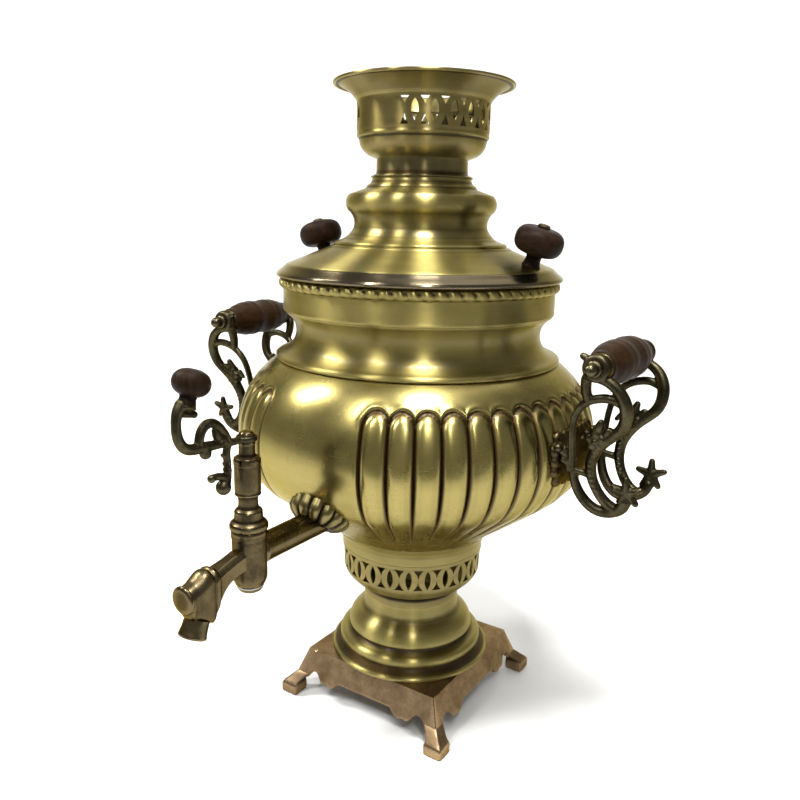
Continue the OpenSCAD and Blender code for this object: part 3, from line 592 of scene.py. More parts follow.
pedestal = lathe(
    "pedestal",
    [(66, 38.1), (66.2, 39), (66.1, 40.2), (65.4, 41), (62.6, 42), (59.6, 43.4), (58.2, 45.4)]
    + arc(55.3, 49.4, 4.5, -36, 80, 12)
    + [(53.6, 54), (51.4, 54.7), (50.2, 55.8), (50, 57), (50.6, 58), (51.8, 58.8), (52.2, 59.8),
       (51.9, 62), (50.9, 65.2), (49.2, 68.2), (46.8, 70.8), (44.2, 72.7), (42, 74.1), (40.4, 75.8),
       (39.7, 78), (39.5, 82), (39.5, 88), (38, 88), (38, 75), (44, 70), (49, 62), (48.4, 56), (56, 51),
       (56, 47), (50, 40.5), (50, 38.1)],
    BRASS, count=176, depth=0.9)
# painted dark reflection and shade: the pedestal's lower bead is darkened towards the plate that shows in it
darken(pedestal, lambda r, z: np.interp(z, (41, 46, 49), (0.75, 0.55, 0)) * (r < 65))

lathe("foot_collar",
      [(58.2, 133.2), (58.6, 136.4), (59.6, 140.6), (61.8, 144.6), (64.6, 147.8), (65.6, 148.6),
       (65.2, 149.3), (66.5, 150), (64.4, 150), (63.2, 148.8), (60.4, 145.6), (58, 141.2), (57, 137),
       (56.4, 133.2)],
      BRASS, count=176, depth=1.2)


def inside(x, y, outline):
    """Whether a point lies inside a closed outline"""
    a, b = outline, np.roll(outline, -1, 0)
    rise = np.where(b[:, 1] == a[:, 1], 1e-12, b[:, 1] - a[:, 1])
    crossed = ((a[:, 1] > y) != (b[:, 1] > y)) & (x < (b[:, 0] - a[:, 0]) * (y - a[:, 1]) / rise + a[:, 0])
    return crossed.sum() % 2 == 1


def cut_strip(width, low, high, holes, step):
    """A flat strip with holes, meshed evenly: its points and triangles"""
    pts, edges = [], []

    def ring(points):
        first = len(pts)
        pts.extend(points)
        edges.extend((first + i, first + (i + 1) % len(points)) for i in range(len(points)))
    us = np.linspace(0, width, max(1, round(width / step)) + 1)
    vs = np.linspace(low, high, max(1, round((high - low) / step)) + 1)
    ring([(u, low) for u in us[:-1]] + [(width, v) for v in vs[:-1]] + [(u, high) for u in us[:0:-1]]
         + [(0, v) for v in vs[:0:-1]])
    holes = [np.array(hole, float) for hole in holes]
    for hole in holes:
        ring([tuple(p) for p in hole.tolist()])
    boxes = [(hole.min(0) - 0.5, hole.max(0) + 0.5) for hole in holes]
    pts += [(u, v) for u in us[1:-1] for v in vs[1:-1]
            if not any(a[0] < u < b[0] and a[1] < v < b[1] for a, b in boxes)]
    out = delaunay_2d_cdt([Vector(p) for p in pts], edges, [], 0, 1e-5)
    flat, kept = [tuple(v) for v in out[0]], []
    for t in out[2]:
        x, y = (sum(flat[i][k] for i in t) / 3 for k in (0, 1))
        if not any(a[0] < x < b[0] and a[1] < y < b[1] and inside(x, y, hole)
                   for (a, b), hole in zip(boxes, holes)):
            kept.append(list(t))
    return flat, kept


def pierced_band(name, profile, mid_r, holes, body, step, start):
    """A pierced gallery: the holes are drawn on the unrolled band, in millimetres round and up"""
    thick = 1.3
    width = 2 * math.pi * mid_r
    flat, kept = cut_strip(width, profile[0][1], profile[-1][1], holes, step)
    radii, heights = zip(*profile)

    def radius(v):
        return float(np.interp(v, heights, radii))
    outer, normal = [], []
    for u, v in flat:
        a = u / mid_r + math.radians(start)
        slope = radius(v + 0.5) - radius(v - 0.5)
        k = 1 / math.hypot(1, slope)
        outer.append((radius(v) * math.cos(a), radius(v) * math.sin(a), v))
        normal.append((k * math.cos(a), k * math.sin(a), -k * slope))
    inner = np.array(outer) - np.array(normal) * thick
    n = len(flat)
    faces = kept + [[n + i for i in reversed(t)] for t in kept]
    sides = {(t[i], t[(i + 1) % 3]) for t in kept for i in range(3)}

    def at_seam(a, b):
        return abs(flat[a][0] - flat[b][0]) < 1e-6 and (flat[a][0] < 1e-6 or flat[a][0] > width - 1e-6)
    faces += [[b, a, n + a, n + b] for a, b in sorted(sides) if (b, a) not in sides and not at_seam(a, b)]
    piece = make(name, (np.vstack([outer, inner]), faces), BROWN_BRASS_PATINA_AND_SHADE, body=body)
    rework(piece, lambda bm: weld(bm, 0.02 * MM), 50)
    shade_hollows(piece, 3, 0.45)
    return piece


def lens(cx, cy, half_w, half_h, n=8):
    """A pointed oval"""
    r = (half_w ** 2 + half_h ** 2) / (2 * half_w)
    a = math.asin(half_h / r)
    right = [(cx - r + half_w + r * math.cos(t), cy + r * math.sin(t)) for t in np.linspace(-a, a, n)]
    left = [(cx + r - half_w - r * math.cos(t), cy + r * math.sin(t)) for t in np.linspace(a, -a, n)]
    return right[:-1] + left[:-1]


def bent_triangle(cx, base, tip, half, bend=0.35, blunt=0.35):
    """A triangle with its long sides bent inwards and a blunt tip"""
    side = [(max(half * (1 - t) * (1 - 2 * bend * t), blunt), base + (tip - base) * t)
            for t in np.linspace(0, 1, 7)]
    return [(cx + x, v) for x, v in side] + [(cx - x, v) for x, v in side[::-1]]


def vent_gallery():
    """Pointed ovals with two small triangles between them; the seam is behind, between two holes"""
    profile = [(39.5, 88), (39.5, 95), (39.9, 96), (41.6, 97.2), (44.8, 98.9), (48, 100.7),
               (48.9, 101.3), (49, 102.3), (50, 102.6), (52.3, 104.9), (55.2, 108.4), (56.3, 110.6),
               (56.6, 112), (57, 120), (57.5, 130.2), (58.4, 131), (58.6, 132), (58.3, 133.2)]
    vents, mid_r, middle, shift = 24, 57, 120.9, 0.2
    pitch = 2 * math.pi * mid_r / vents
    holes = []
    for i in range(vents):
        holes.append(lens((i + shift) * pitch, middle, 2.5, 8))
        for s in (-1, 1):
            holes.append(bent_triangle((i + shift + 0.5) * pitch, middle + s * 8.6, middle + s * 1.6, 3.9))
    pierced_band("vent_gallery", profile, mid_r, holes, "tank", 2.2, 90 - shift * 360 / vents)


vent_gallery()

# -------------------- base

PLATE_HALF, PLATE_Z, PLATE_T, PLATE_HOLE_R, FOOT_AT = 61.5, 38, 3, 46, 70.8
APRON_SLOPE, APRON_HALF = math.tan(math.radians(19.5)), 63.0
# Half of one side's lower edge, from the middle to the foot: distance along the side, and height
APRON_EDGE = [(0, 19), (24, 19), (26.2, 18.6), (28.2, 17), (30, 15), (32.4, 13.8), (35.4, 14),
              (38.2, 14.9), (41, 14.2), (43.4, 14.6), (45.4, 16.8), (47.2, 19.4), (49.6, 21.2), (52.4, 21.4),
              (55.2, 20.2), (57.4, 18), (59, 15.4), (61, 13.8), (APRON_HALF, 13)]
# The foot's sections from below: height, half width, shift outwards, squareness
FOOT = [(0, 6.9, 0, 5), (0.4, 7.5, 0, 7), (1.2, 7.8, 0, 9), (6.4, 7.9, 0, 9), (8, 7.7, -0.1, 8),
        (9.6, 7, -0.6, 7), (11.2, 6.4, -1.8, 7), (13.2, 6.1, -3.6, 7), (15.4, 5.9, -5.5, 8),
        (17.4, 5.6, -7.2, 8), (19.4, 4.8, -9, 8)]


def aprons():
    """Four leaning sides with a scalloped lower edge, each an outer and an inner skin"""
    edge = resample([(-s, z) for s, z in APRON_EDGE[:0:-1]] + APRON_EDGE, 1.6, closed=False)
    points, faces, n, steps = [], [], len(edge), 9
    w = steps + 1
    for quarter in range(4):
        turn = Matrix.Rotation(math.radians(90 * quarter), 3, "Z")
        first = len(points)
        for depth in (0, PLATE_T):
            for s, low in edge:
                for k in range(w):
                    t = k / steps
                    z = low + (PLATE_Z - low) * t
                    out = PLATE_HALF + (PLATE_Z - z) * APRON_SLOPE
                    along = max(-out, min(out, s * (1 - t) + t * s * PLATE_HALF / APRON_HALF))
                    if abs(s) == APRON_HALF:
                        along = math.copysign(out, s)
                    points.append(turn @ Vector((along * (out - depth) / out, -(out - depth), z)))
        for i in range(n - 1):
            low = first + i * w
            faces.append([low, low + n * w, low + n * w + w, low + w])
            for a in range(low, low + steps):
                faces.append([a, a + w, a + w + 1, a + 1])
                faces.append([n * w + v for v in (a + 1, a + w + 1, a + w, a)])
    return points, faces


def plate(n=96):
    """The square plate with its round hole"""
    points = []
    ring = [(math.cos(2 * math.pi * i / n), math.sin(2 * math.pi * i / n)) for i in range(n)]
    for z in (PLATE_Z, PLATE_Z - PLATE_T):
        for f in (1, 0.985, 0.93):
            points += [(f * PLATE_HALF * c / max(abs(c), abs(s)), f * PLATE_HALF * s / max(abs(c), abs(s)), z)
                       for c, s in ring]
        points += [(PLATE_HOLE_R * c, PLATE_HOLE_R * s, z) for c, s in ring]
    faces = grid(4, n)
    faces += [[4 * n + v for v in f[::-1]] for f in faces]
    faces += [[3 * n + i, 3 * n + (i + 1) % n, 7 * n + (i + 1) % n, 7 * n + i] for i in range(n)]
    return points, faces


def round_ridges(bm):
    """Bevels the sharp edges above the feet"""
    ridges = [e for e in bm.edges if len(e.link_faces) == 2 and e.calc_face_angle(0) > 0.6
              and min(v.co.z for v in e.verts) > 10.5 * MM]
    bmesh.ops.bevel(bm, geom=ridges, offset=0.6 * MM, segments=2, affect="EDGES", clamp_overlap=True)


def rounded_square(half, power, n=36):
    out = []
    for t in np.linspace(0, 2 * math.pi, n, endpoint=False):
        c, s = math.cos(t), math.sin(t)
        out.append([half * math.copysign(abs(v) ** (2 / power), v) for v in (c, s)])
    return out


def base_casting():
    piece = make("base_casting", join(aprons(), plate()), BRONZE)
    rework(piece, lambda bm: weld(bm, 0.05 * MM), 50)
    rework(piece, round_ridges, 45)
    shade_hollows(piece, 4, 0.25)
    for k, (sx, sy) in enumerate(((1, -1), (1, 1), (-1, 1), (-1, -1))):
        sections = [[(sx * (FOOT_AT + shift) + x, sy * (FOOT_AT + shift) + y, z)
                     for x, y in rounded_square(half, power)] for z, half, shift, power in FOOT]
        foot = make("foot_%d" % (k + 1), loft(sections), BRONZE, ["base_casting"], sharp=50)
        shade_hollows(foot, 3, 0.3)


base_casting()

# -------------------- tank

BELLY_R, BELLY_Z, LOW_ARC, HIGH_ARC, LOW_TURN = 140, 233, 55, 66, math.radians(53.3)
BELLY_LOW, BELLY_TOP, SHOULDER = 150, 289, 262.8
STEP, LOBES, PANEL_HALF, PANEL_MID = 7.5, 43, 18.75, -1.85  # degrees, but for the number of gadroons


def belly_radius(z):
    """The smooth belly: a short foot, a cone, and two arcs that meet at its widest place"""
    z = np.asarray(z, float)
    foot_r, cone_r, cone_z = 66.5, 75, 157
    turn_z = BELLY_Z - LOW_ARC * math.sin(LOW_TURN)
    turn_r = BELLY_R - LOW_ARC + LOW_ARC * math.cos(LOW_TURN)
    low = np.where(z < cone_z, foot_r + (cone_r - foot_r) * (z - BELLY_LOW) / (cone_z - BELLY_LOW),
                   cone_r + (z - cone_z) * (turn_r - cone_r) / (turn_z - cone_z))
    middle = BELLY_R - LOW_ARC + np.sqrt(np.maximum(LOW_ARC ** 2 - (BELLY_Z - z) ** 2, 0))
    top = BELLY_R - HIGH_ARC + np.sqrt(np.maximum(HIGH_ARC ** 2 - (z - BELLY_Z) ** 2, 0))
    return np.where(z < turn_z, low, np.where(z < BELLY_Z, middle, top))


def belly_columns():
    """For each column round the belly: its angle from the tap, its place across a gadroon from the ridge
    at 0 to the groove at 1, and how far it lies inside the plain panel"""
    half_lobe = (0.25, 0.5, 0.69, 0.81, 0.89, 0.94, 0.975)
    across = [-1] + [-k for k in half_lobe[::-1]] + [0] + list(half_lobe)
    edge = [0.25, 0.5, 0.8, 1.2, 1.7, 2.4]
    columns = [(PANEL_MID + PANEL_HALF + (i + (k + 1) / 2) * STEP, abs(k), 0)
               for i in range(LOBES) for k in across]
    panel = np.concatenate([[0], edge, np.linspace(3.3, 2 * PANEL_HALF - 3.3, 30),
                            2 * PANEL_HALF - np.array(edge[::-1])])
    columns += [(PANEL_MID - PANEL_HALF + k, 1, min(k, 2 * PANEL_HALF - k)) for k in panel]
    return (np.array(c)[None, :] for c in zip(*columns))


def belly():
    """Gadroons all round but for the plain panel in front, pressed outwards with arched tops"""
    gadroon = 3.4
    angle, across, apart = belly_columns()
    rows = np.concatenate([np.arange(BELLY_LOW, 162, 1.2), np.arange(162, 256, 2.2),
                           np.arange(256.4, 278.5, 0.75), np.arange(279, 288.6, 1.1), [BELLY_TOP]])
    z = rows[:, None]
    smooth_r = belly_radius(z)
    up = np.maximum(0, (z - SHOULDER) / 10)
    s = np.sqrt((across + apart / (STEP / 2)) ** 2 + up ** 2)
    full = gadroon * (smooth_r / BELLY_R) ** 1.1
    groove = full * (1 - np.sqrt(1 - np.clip((s - 0.42) / 0.58, 0, 1) ** 2))
    wall = full * np.clip(1 - (s - 1) / 0.34, 0, 1) ** 2
    fade = np.clip((z - 155) / 17, 0, 1)
    depth = np.where(s <= 1, groove, wall) * fade ** 1.2
    crown = 0.9 * np.clip(1 - s ** 2, 0, 1) * fade
    rim = 0.5 * np.exp(-((s - 1.34) / 0.16) ** 2) * (up > 0) * np.clip(up * 2, 0, 1)
    r = smooth_r - depth + crown + rim
    a = np.radians(angle)
    outer = np.stack([r * np.sin(a), -r * np.cos(a), z + 0 * r], -1).reshape(-1, 3)
    hollow = np.clip((depth - 0.5) / 0.7, 0, 1) + np.clip(1 - (BELLY_TOP - z) / 1.6, 0, 1) * 0.8
    hollow = np.clip(hollow - 0.5 * (crown > 0.8), -1, 1).reshape(-1)
    sheet, levels, count = 4.6, 26, 144
    rings = [(float(belly_radius(v)) - sheet, v) for v in np.linspace(BELLY_LOW, BELLY_TOP, levels)]
    turns = np.linspace(0, 2 * math.pi, count, endpoint=False)
    inner = [(r * math.sin(b), -r * math.cos(b), v) for r, v in rings for b in turns]
    skins = join((outer, grid(len(rows), angle.shape[1])), (inner, [f[::-1] for f in grid(levels, count)]))
    make("belly", skins, PRESSED, ["belly_shell"], cavity=np.concatenate([hollow, np.zeros(len(inner))]),
         sharp=60)


belly()

lathe("collar",
      [(109.6, 289), (110.7, 289.6), (111.1, 290.8), (110.6, 292.2), (109.4, 293)]
      + arc(111.8, 309.5, 16.5, 256, 120, 20)
      + [(103.9, 324.6), (104.7, 325.2), (105.2, 326.4), (105, 328), (105, 342.4), (103.3, 342.4),
         (103.3, 350), (100.4, 350), (100.4, 341), (103.4, 341), (103.4, 327)]
      + arc(111.8, 309.5, 18, 120, 256, 14) + [(107.6, 291.6), (108, 289)],
      BRASS, ["collar_shell"], count=200, depth=0.9)


def bead_trim():
    """Rope-like ring under the lid: slanted beads with a deep notch between them"""
    beads, per, ring_r, ring_z = 72, 12, 104.4, 346.1
    m = beads * per
    turns = [2 * math.pi * j / m for j in range(m)]
    phis = np.radians(np.linspace(-82, 84, 16))
    points, value = [], []
    for phi in phis:
        for j, a in enumerate(turns):
            u = (j / per + 0.16 * phi) % 1.0
            lift = 0.5 + 0.5 * math.cos(2 * math.pi * (u - 0.5))
            notch = math.exp(-((u - 0.5) / 0.13) ** 2) * (0.12 + 0.88 * math.exp(-((phi - 0.35) / 0.55) ** 2))
            r = 3.5 + 0.35 * (1 - lift) - 1.7 * notch
            out = ring_r + r * math.cos(phi)
            points.append((out * math.cos(a), out * math.sin(a), ring_z + r * math.sin(phi)))
            value.append(1.6 * notch - 0.35)
    for r, z in ((103.35, 349.7), (103.35, 342.5)):
        points += [(r * math.cos(a), r * math.sin(a), z) for a in turns]
        value += [0.3] * m
    make("bead_trim", (points, grid(len(phis) + 2, m, loop=True)), BRASS,
         cavity=np.clip(value, -1, 1), sharp=60)


bead_trim()

# -------------------- lid

lathe("lid_flange",
      [(99.6, 349.8), (103.6, 350.15), (108.6, 350.3), (109.9, 351.2), (110.2, 352.4), (109.4, 353.9),
       (107.4, 355.6), (105.4, 357.2), (104, 358.6), (102.9, 359.6), (102.1, 359.5), (102.2, 358),
       (103.4, 355.4), (106, 352.8), (104, 351.6), (98.2, 351.6), (98.2, 342), (99.6, 342)],
      FLANGE, ["lid_plate"], "lid", 200, edge=0.6, depth=0.8)
lathe("lid_cone",
      [(102, 358.4), (102, 359.7), (101.2, 360.3), (96, 362.3), (90, 364.8), (77, 370.1), (69.6, 373.1),
       (68.8, 374), (64.5, 375.4), (62, 375.4), (62, 374.1), (76, 368.6), (89.4, 363.2), (99.6, 358.9)],
      BRASS, ["lid_plate"], "lid", 200, depth=0.8)
lathe("lid_bell",
      [(66.4, 374.9), (66.4, 376.1), (65.4, 377), (62.5, 377.7), (58.6, 379.2), (55.2, 381.8), (52.6, 385.2)]
      + arc(62.9, 390.5, 12, 196, 134, 8) + arc(48.6, 405.5, 9, -46, 46, 12)
      + [(51.6, 413.2), (47, 414.8), (43.2, 416.1), (42, 416.8), (41.4, 418.4), (38.8, 420.2), (38.2, 421),
         (37.7, 422.4), (37.6, 424), (36, 424), (36, 420), (41.6, 414.9), (47.6, 412.4), (54, 407), (53, 402),
         (50.2, 396), (50, 387), (56, 377.4), (61, 374.9)],
      BRASS, body="lid", count=176, depth=0.9)

# -------------------- crown

CROWN_R, CROWN_LOW = 49.6, 456


def crown_gallery():
    """Two groups of holes, to the right and left: arrow tips between pairs of triangles"""
    holes, start, pitch = [], 16.5, 8.25
    tip = [(2.7, 9.2), (2.7, 12.8), (2.3, 15.2), (1.4, 17.2), (0, 19)]
    triangles = (((1.8, 8.6, 3.1, 0.1, 0.5), (20.4, 15.4, 3.3, 0.1, 0.4)), ((8.4, 4.2, 2.1, 0.1, 0.4),))
    for side in (0, 180):
        for i in range(16):
            c = math.radians(side + start + pitch * i) * CROWN_R
            if i % 2:
                holes.append([(c + x, CROWN_LOW + z) for x, z in tip]
                             + [(c - x, CROWN_LOW + z) for x, z in tip[-2::-1]])
            for base, point, half, bend, blunt in triangles[i % 2]:
                holes.append(bent_triangle(c, CROWN_LOW + base, CROWN_LOW + point, half, bend, blunt))
    profile = [(49.4, CROWN_LOW), (49.6, 457), (49.6, 476.6), (49.9, 478.1)]
    return pierced_band("crown_gallery", profile, CROWN_R, holes, "crown", 1.8, -90)


crown_neck = lathe(
    "crown_neck",
    [(38.5, 424.1), (38.8, 425), (37.2, 425.9), (35.6, 426.3), (34.6, 427.4), (34.5, 438), (33.2, 438),
     (33.2, 424.1)],
    NECK, body="crown", count=144, depth=0.8)
crown_bowl = lathe(
    "crown_bowl",
    [(34.5, 437.6)] + arc(34.5, 452, 13.4, -74, -4, 14)
    + [(48.2, 452), (49.4, 452.9), (49.6, 454), (49.3, 455), (49.3, 456.2), (47.6, 456.2), (47.6, 454)]
    + arc(34, 452.4, 12.4, -6, -72, 8) + [(33.2, 438)],
    BROWN_BRASS_PATINA_AND_SHADE, body="crown", count=144, depth=0.8)
# painted shade: the faces inside the crown, which look at its axis, are darkened
for shaded_inside in (crown_gallery(), crown_bowl, crown_neck):
    darken(shaded_inside, lambda r, z: np.full(len(r), 0.9), inside=True)
crown_rim = lathe(
    "crown_rim",
    [(49.7, 478)] + arc(72.3, 465, 26, 149, 107, 14) + [(65.6, 489.4)] + arc(66, 490.2, 1.25, -80, 150, 8)
    + [(64.4, 491.2)] + arc(72.3, 465, 27.4, 107, 151, 14) + [(48.2, 478)],
    BROWN_BRASS_PATINA_AND_SHADE, body="crown", depth=0.4)
darken(crown_rim, lambda r, z: (z > 489.3) * 0.75)

# -------------------- knobs on the lid

KNOB_OUT, KNOB_Z, KNOB_LEAN = 93, 363.6, 17

for side, turn in SIDES:
    at = turn @ moved(KNOB_OUT, 0, KNOB_Z, ry=KNOB_LEAN)
    lathe("knob_" + side,
          [(0, -2.6), (6.6, -2.6), (7, -1), (6.8, 0.6), (6, 2), (5.5, 4.5), (5.4, 6.6), (6.2, 8.6)]
          + [(6.0 + 11.5 * math.cos(a) ** 0.72, 18.2 + 9.6 * math.copysign(abs(math.sin(a)) ** 0.86, a))
             for a in np.radians(np.linspace(-86, 84, 25))] + [(5.2, 27.9), (0, 28.1)],
          KNOB_WOOD, body="lid", count=80, place=at, edge=0.5, step=1)
    lathe("knob_screw_" + side,
          [(0, 27.6), (4.4, 27.6), (4.5, 28.6), (4.3, 29.6), (3.2, 30.2), (1.3, 30.3), (0.9, 29.7),
           (0, 29.7)],
          SCREW, ["knob_screws"], "lid", 40, at, edge=0.2, step=0.6)

# -------------------- handles

GRIP_OUT, GRIP_Z, GRIP_R, CUP_R, EYE_T = 166, 306, 14.9, 7.8, 7
PIVOT_Z, PIVOT_Y, TILT, SWING = 230, 25, 12, 3  # each bracket leans outwards from its foot on the boss
GRIP_Y = PIVOT_Y + math.tan(math.radians(TILT)) * (GRIP_Z - PIVOT_Z)
AT_HANDLE = Matrix.Rotation(math.radians(-SWING), 4, "Z")
FLOWER_OUT, FLOWER_Z = 166, 258


def flat_strand(points):
    """A strand drawn in the bracket's own plane: distance from the tank's axis, height, radius"""
    return tube([(p, 0, z, 1.1 * r) for p, z, r in points])


def star(out, up, reach, turn):
    """A small five-armed star with blunt tips"""
    arms = [ball(out, 0, up, 3.9, sy=0.9)]
    for a in np.radians(turn + 72.0 * np.arange(5)):
        c, s = math.cos(a), math.sin(a)
        core = ((2, 3.2), (5.4, 2.7), (reach - 2, 2.1))
        arms.append(tube([(out + c * t, 0, up + s * t, r) for t, r in core]))
        arms.append(tube([(out + c * t, -2.3, up + s * t, 0.75) for t in (1.5, reach - 3)], 8))
    return arms


def bracket_casting():
    """Two entwined scrolls with a flower, scales and a star, an eye for the grip's rod, and a foot"""
    plain = [
        [(167, 301.5, 3), (174.5, 299, 3.2), (181, 293.5, 3.6), (184.8, 285, 3.9), (185.2, 276, 3.8),
         (182.5, 268.5, 3.6), (177, 262.5, 3.4), (171, 257, 3.6), (165.5, 250, 3.8), (162.2, 242, 3.6),
         (161.6, 234, 3.4), (163.2, 226, 3.2), (166.8, 218.5, 3.2), (171.5, 212.5, 3.4), (176.5, 209, 3.6)],
        [(163, 304, 3.2), (159.5, 300, 3.3), (158.7, 293, 3.2), (159.5, 287, 3)],
        [(181.5, 286, 2.6), (175, 288, 2.7), (168, 287.3, 2.7), (160.5, 284.3, 2.6), (154, 278, 2.4),
         (150.3, 269, 2.1), (148.9, 258, 1.9), (148.6, 246, 2), (148.4, 236, 2.2), (149.4, 226, 2.8),
         (152, 217.5, 3.2), (156.5, 210.5, 3.4), (163, 205.5, 3.5), (170, 204.3, 3.5), (177, 206.3, 3.6),
         (182.5, 210.5, 3.8), (185.5, 216, 3.6)],
        [(149.5, 232, 2.2), (160.5, 231, 2.4)],
        [(165, 262, 3.4), (167.6, 267, 2.9), (168.8, 270.6, 2.1)],
        [(159, 262, 2), (155.6, 258, 1.5)],
        [(171, 261, 3), (174.5, 265.5, 2.5)]]
    parts = [flat_strand(points) for points in plain] + [ball(FLOWER_OUT, 0, FLOWER_Z, 4.6, sy=0.9)]
    scroll, hoop = plain[0][8:13][::-1], plain[2][3:9]
    for y in (-3, 3):
        for a in np.radians(18 + 72.0 * np.arange(5)):
            out, up = FLOWER_OUT + 4.4 * math.cos(a), FLOWER_Z + 4.4 * math.sin(a)
            parts.append(ball(out, y * 0.8, up, 3.3, sy=0.7))
        parts.append(ball(FLOWER_OUT, y * 1.25, FLOWER_Z, 1.9))
        for z in np.arange(222, 251, 3.6):
            out = float(np.interp(z, [p[1] for p in scroll], [p[0] for p in scroll]))
            parts.append(ball(out, y, z, 2.1, sy=0.8, count=10))
        parts.append(tube([(p - 1, y * 0.72, z, 0.8) for p, z, _ in hoop], 8))
    parts += star(out=186.2, up=223.4, reach=11.4, turn=22)
    lean = moved(0, -PIVOT_Y, PIVOT_Z) @ moved(rx=TILT) @ moved(z=-PIVOT_Z)
    parts = [placed(part, lean) for part in parts]
    half = EYE_T / 2
    parts.append(turned_part([(0, -half), (7.4, -half), (8.9, -half + 1.1), (9.4, 0), (8.9, half - 1.1),
                              (7.4, half), (0, half)], moved(GRIP_OUT, -GRIP_Y, GRIP_Z, 90)))
    for points in (
            [(GRIP_OUT - 6.4, -GRIP_Y, GRIP_Z + 5.2, 2.6), (GRIP_OUT - 9.6, -GRIP_Y, GRIP_Z + 6.8, 2.2)],
            [(GRIP_OUT + 3, -GRIP_Y, GRIP_Z - 5, 3.4), (168.5, -PIVOT_Y - 15, 301, 3.2)],
            [(138.6, -27.6, 246.2, 3.9), (143, -26.8, 243, 3.2), (148.6, -26, 240, 2.6)],
            [(145.4, -26, 246, 3.4), (146, -26, 240, 3.6), (146.4, -26, 233, 3.4)],
            [(142.4, -27.4, 238.5, 3), (147, -26.4, 236, 2.8)]):
        parts.append(tube(points))
    parts.append(ball(139.4, -31.2, 246.6, 3.1))
    return fuse(parts, 0.6)


def boss_casting():
    """Shell-shaped plate between the belly and the brackets, with scalloped edges"""
    middle, half_tall, half_wide = 236, 14.4, 29

    def on_belly(y, z, sunk, r, sx):
        return ball(float(belly_radius(z)) * math.cos(math.asin(y / BELLY_R)) - sunk, y, z, r, sx=sx)
    parts = [on_belly(y, z, 0.2, 8.2, 0.44)
             for y in np.arange(-22, 23, 2) for z in np.arange(227, 246, 2.25)]
    for s in (-1, 1):
        parts += [on_belly(y, middle + s * half_tall, 0.4, 5.4, 0.75) for y in np.arange(-24, 25, 8)]
        parts += [on_belly(s * half_wide, middle + z, 0.2, 5.2, 0.9) for z in (-7, 0, 7)]
    return fuse(parts, 0.9, 8)


def grip_outline(half):
    """A barrel with a slight waist and fine turned rings, from one end to the other"""
    ring_depth, ring_pitch, waist_r = 0.14, 8.6, 13.8
    side = []
    for v in np.linspace(0.985, 0, 30)[:-1]:
        waist = 1 - 0.06 * math.exp(-(v / 0.16) ** 2)
        r = GRIP_R * (1 - v ** 3.2) ** 0.5 * waist + CUP_R * v ** 12
        rings = ring_depth * math.cos(v * half * 2 * math.pi / ring_pitch) * (v > 0.1)
        side.append((max(r, CUP_R) + rings, v * half))
    return [(0, -half)] + [(r, -v) for r, v in side] + [(waist_r, 0)] + side[::-1] + [(0, half)]


bracket_shape, boss_shape = bracket_casting(), boss_casting()
for side, turn in SIDES:
    for end, flip in (("front", Matrix.Identity(4)), ("rear", Matrix.Scale(-1, 4, (0, 1, 0)))):
        casting("bracket_%s_%s" % (end, side), bracket_shape, CAST, place=turn @ AT_HANDLE @ flip)
for side, turn in SIDES:
    casting("handle_boss_" + side, boss_shape, SHADED_BOSS, place=turn @ AT_HANDLE)
    at = turn @ AT_HANDLE @ moved(GRIP_OUT, 0, GRIP_Z, 90)
    lathe("grip_" + side, grip_outline(GRIP_Y - EYE_T / 2 - 1.6), GRIP_WOOD, count=88, place=at, edge=0.8,
          reach=2.6, depth=0.9)
    for number, end in (("1", -1), ("2", 1)):
        end_at = at @ Matrix.Scale(end, 4, (0, 0, 1))
        y = GRIP_Y - EYE_T / 2
        lathe("grip_cup_%s_%s" % (side, number),
              [(0, y - 3.4), (8.6, y - 3.4), (9.2, y - 2.8), (9, y - 2), (8.4, y - 1.4), (8.9, y - 0.8),
               (9.2, y - 0.3), (9, y + 0.2), (0, y + 0.2)],
              CAST, ["grip_ferrules_" + side], count=64, place=end_at, edge=0.3)
        y = GRIP_Y + EYE_T / 2
        lathe("grip_nut_%s_%s" % (side, number),
              [(0, y - 0.2), (5.3, y - 0.2), (5.5, y + 1), (5.2, y + 2), (3.7, y + 3)]
              + arc(0, y + 6.4, 4.4, -34, 84, 12) + [(0, y + 10.8)],
              CAST, ["grip_nuts_" + side], count=56, place=end_at, edge=0.3)
    lathe("grip_rod_" + side, [(0, -GRIP_Y - 6), (2.4, -GRIP_Y - 6), (2.4, GRIP_Y + 6), (0, GRIP_Y + 6)],
          STEEL, count=24, place=at, step=6)

# -------------------- tap

TAP_OUT, TAP_Z, SHANK_R = 191, 189, 9.3
MOUTH_OUT, MOUTH_Z, LEAN = 239.5, 154.3, 25
AT_TAP = moved(0, -TAP_OUT, 0)
AT_MOUTH = moved(0, -MOUTH_OUT, MOUTH_Z, -LEAN)


def spout_loft(rows, count=44):
    """Skins a spout along the tap. Each row: distance from the tank's axis, half width, top, bottom,
    squareness of its top and of its bottom"""
    sections = []
    for out, half, top, low, high_power, low_power in rows:
        middle = max((top + low) / 2, top - half * 1.15)
        ring = []
        for t in np.linspace(0, 2 * math.pi, count, endpoint=False):
            c, s = math.cos(t), math.sin(t)
            power = high_power if s >= 0 else low_power
            x = half * math.copysign(abs(c) ** (2 / power), c)
            z = middle + (top - middle if s >= 0 else middle - low) * math.copysign(abs(s) ** (2 / power), s)
            ring.append((x, -out, z))
        sections.append(ring)
    return loft(sections)


def along(out, *stops):
    """A value between stops of (distance from the tank's axis, value)"""
    return float(np.interp(out, *zip(*stops)))


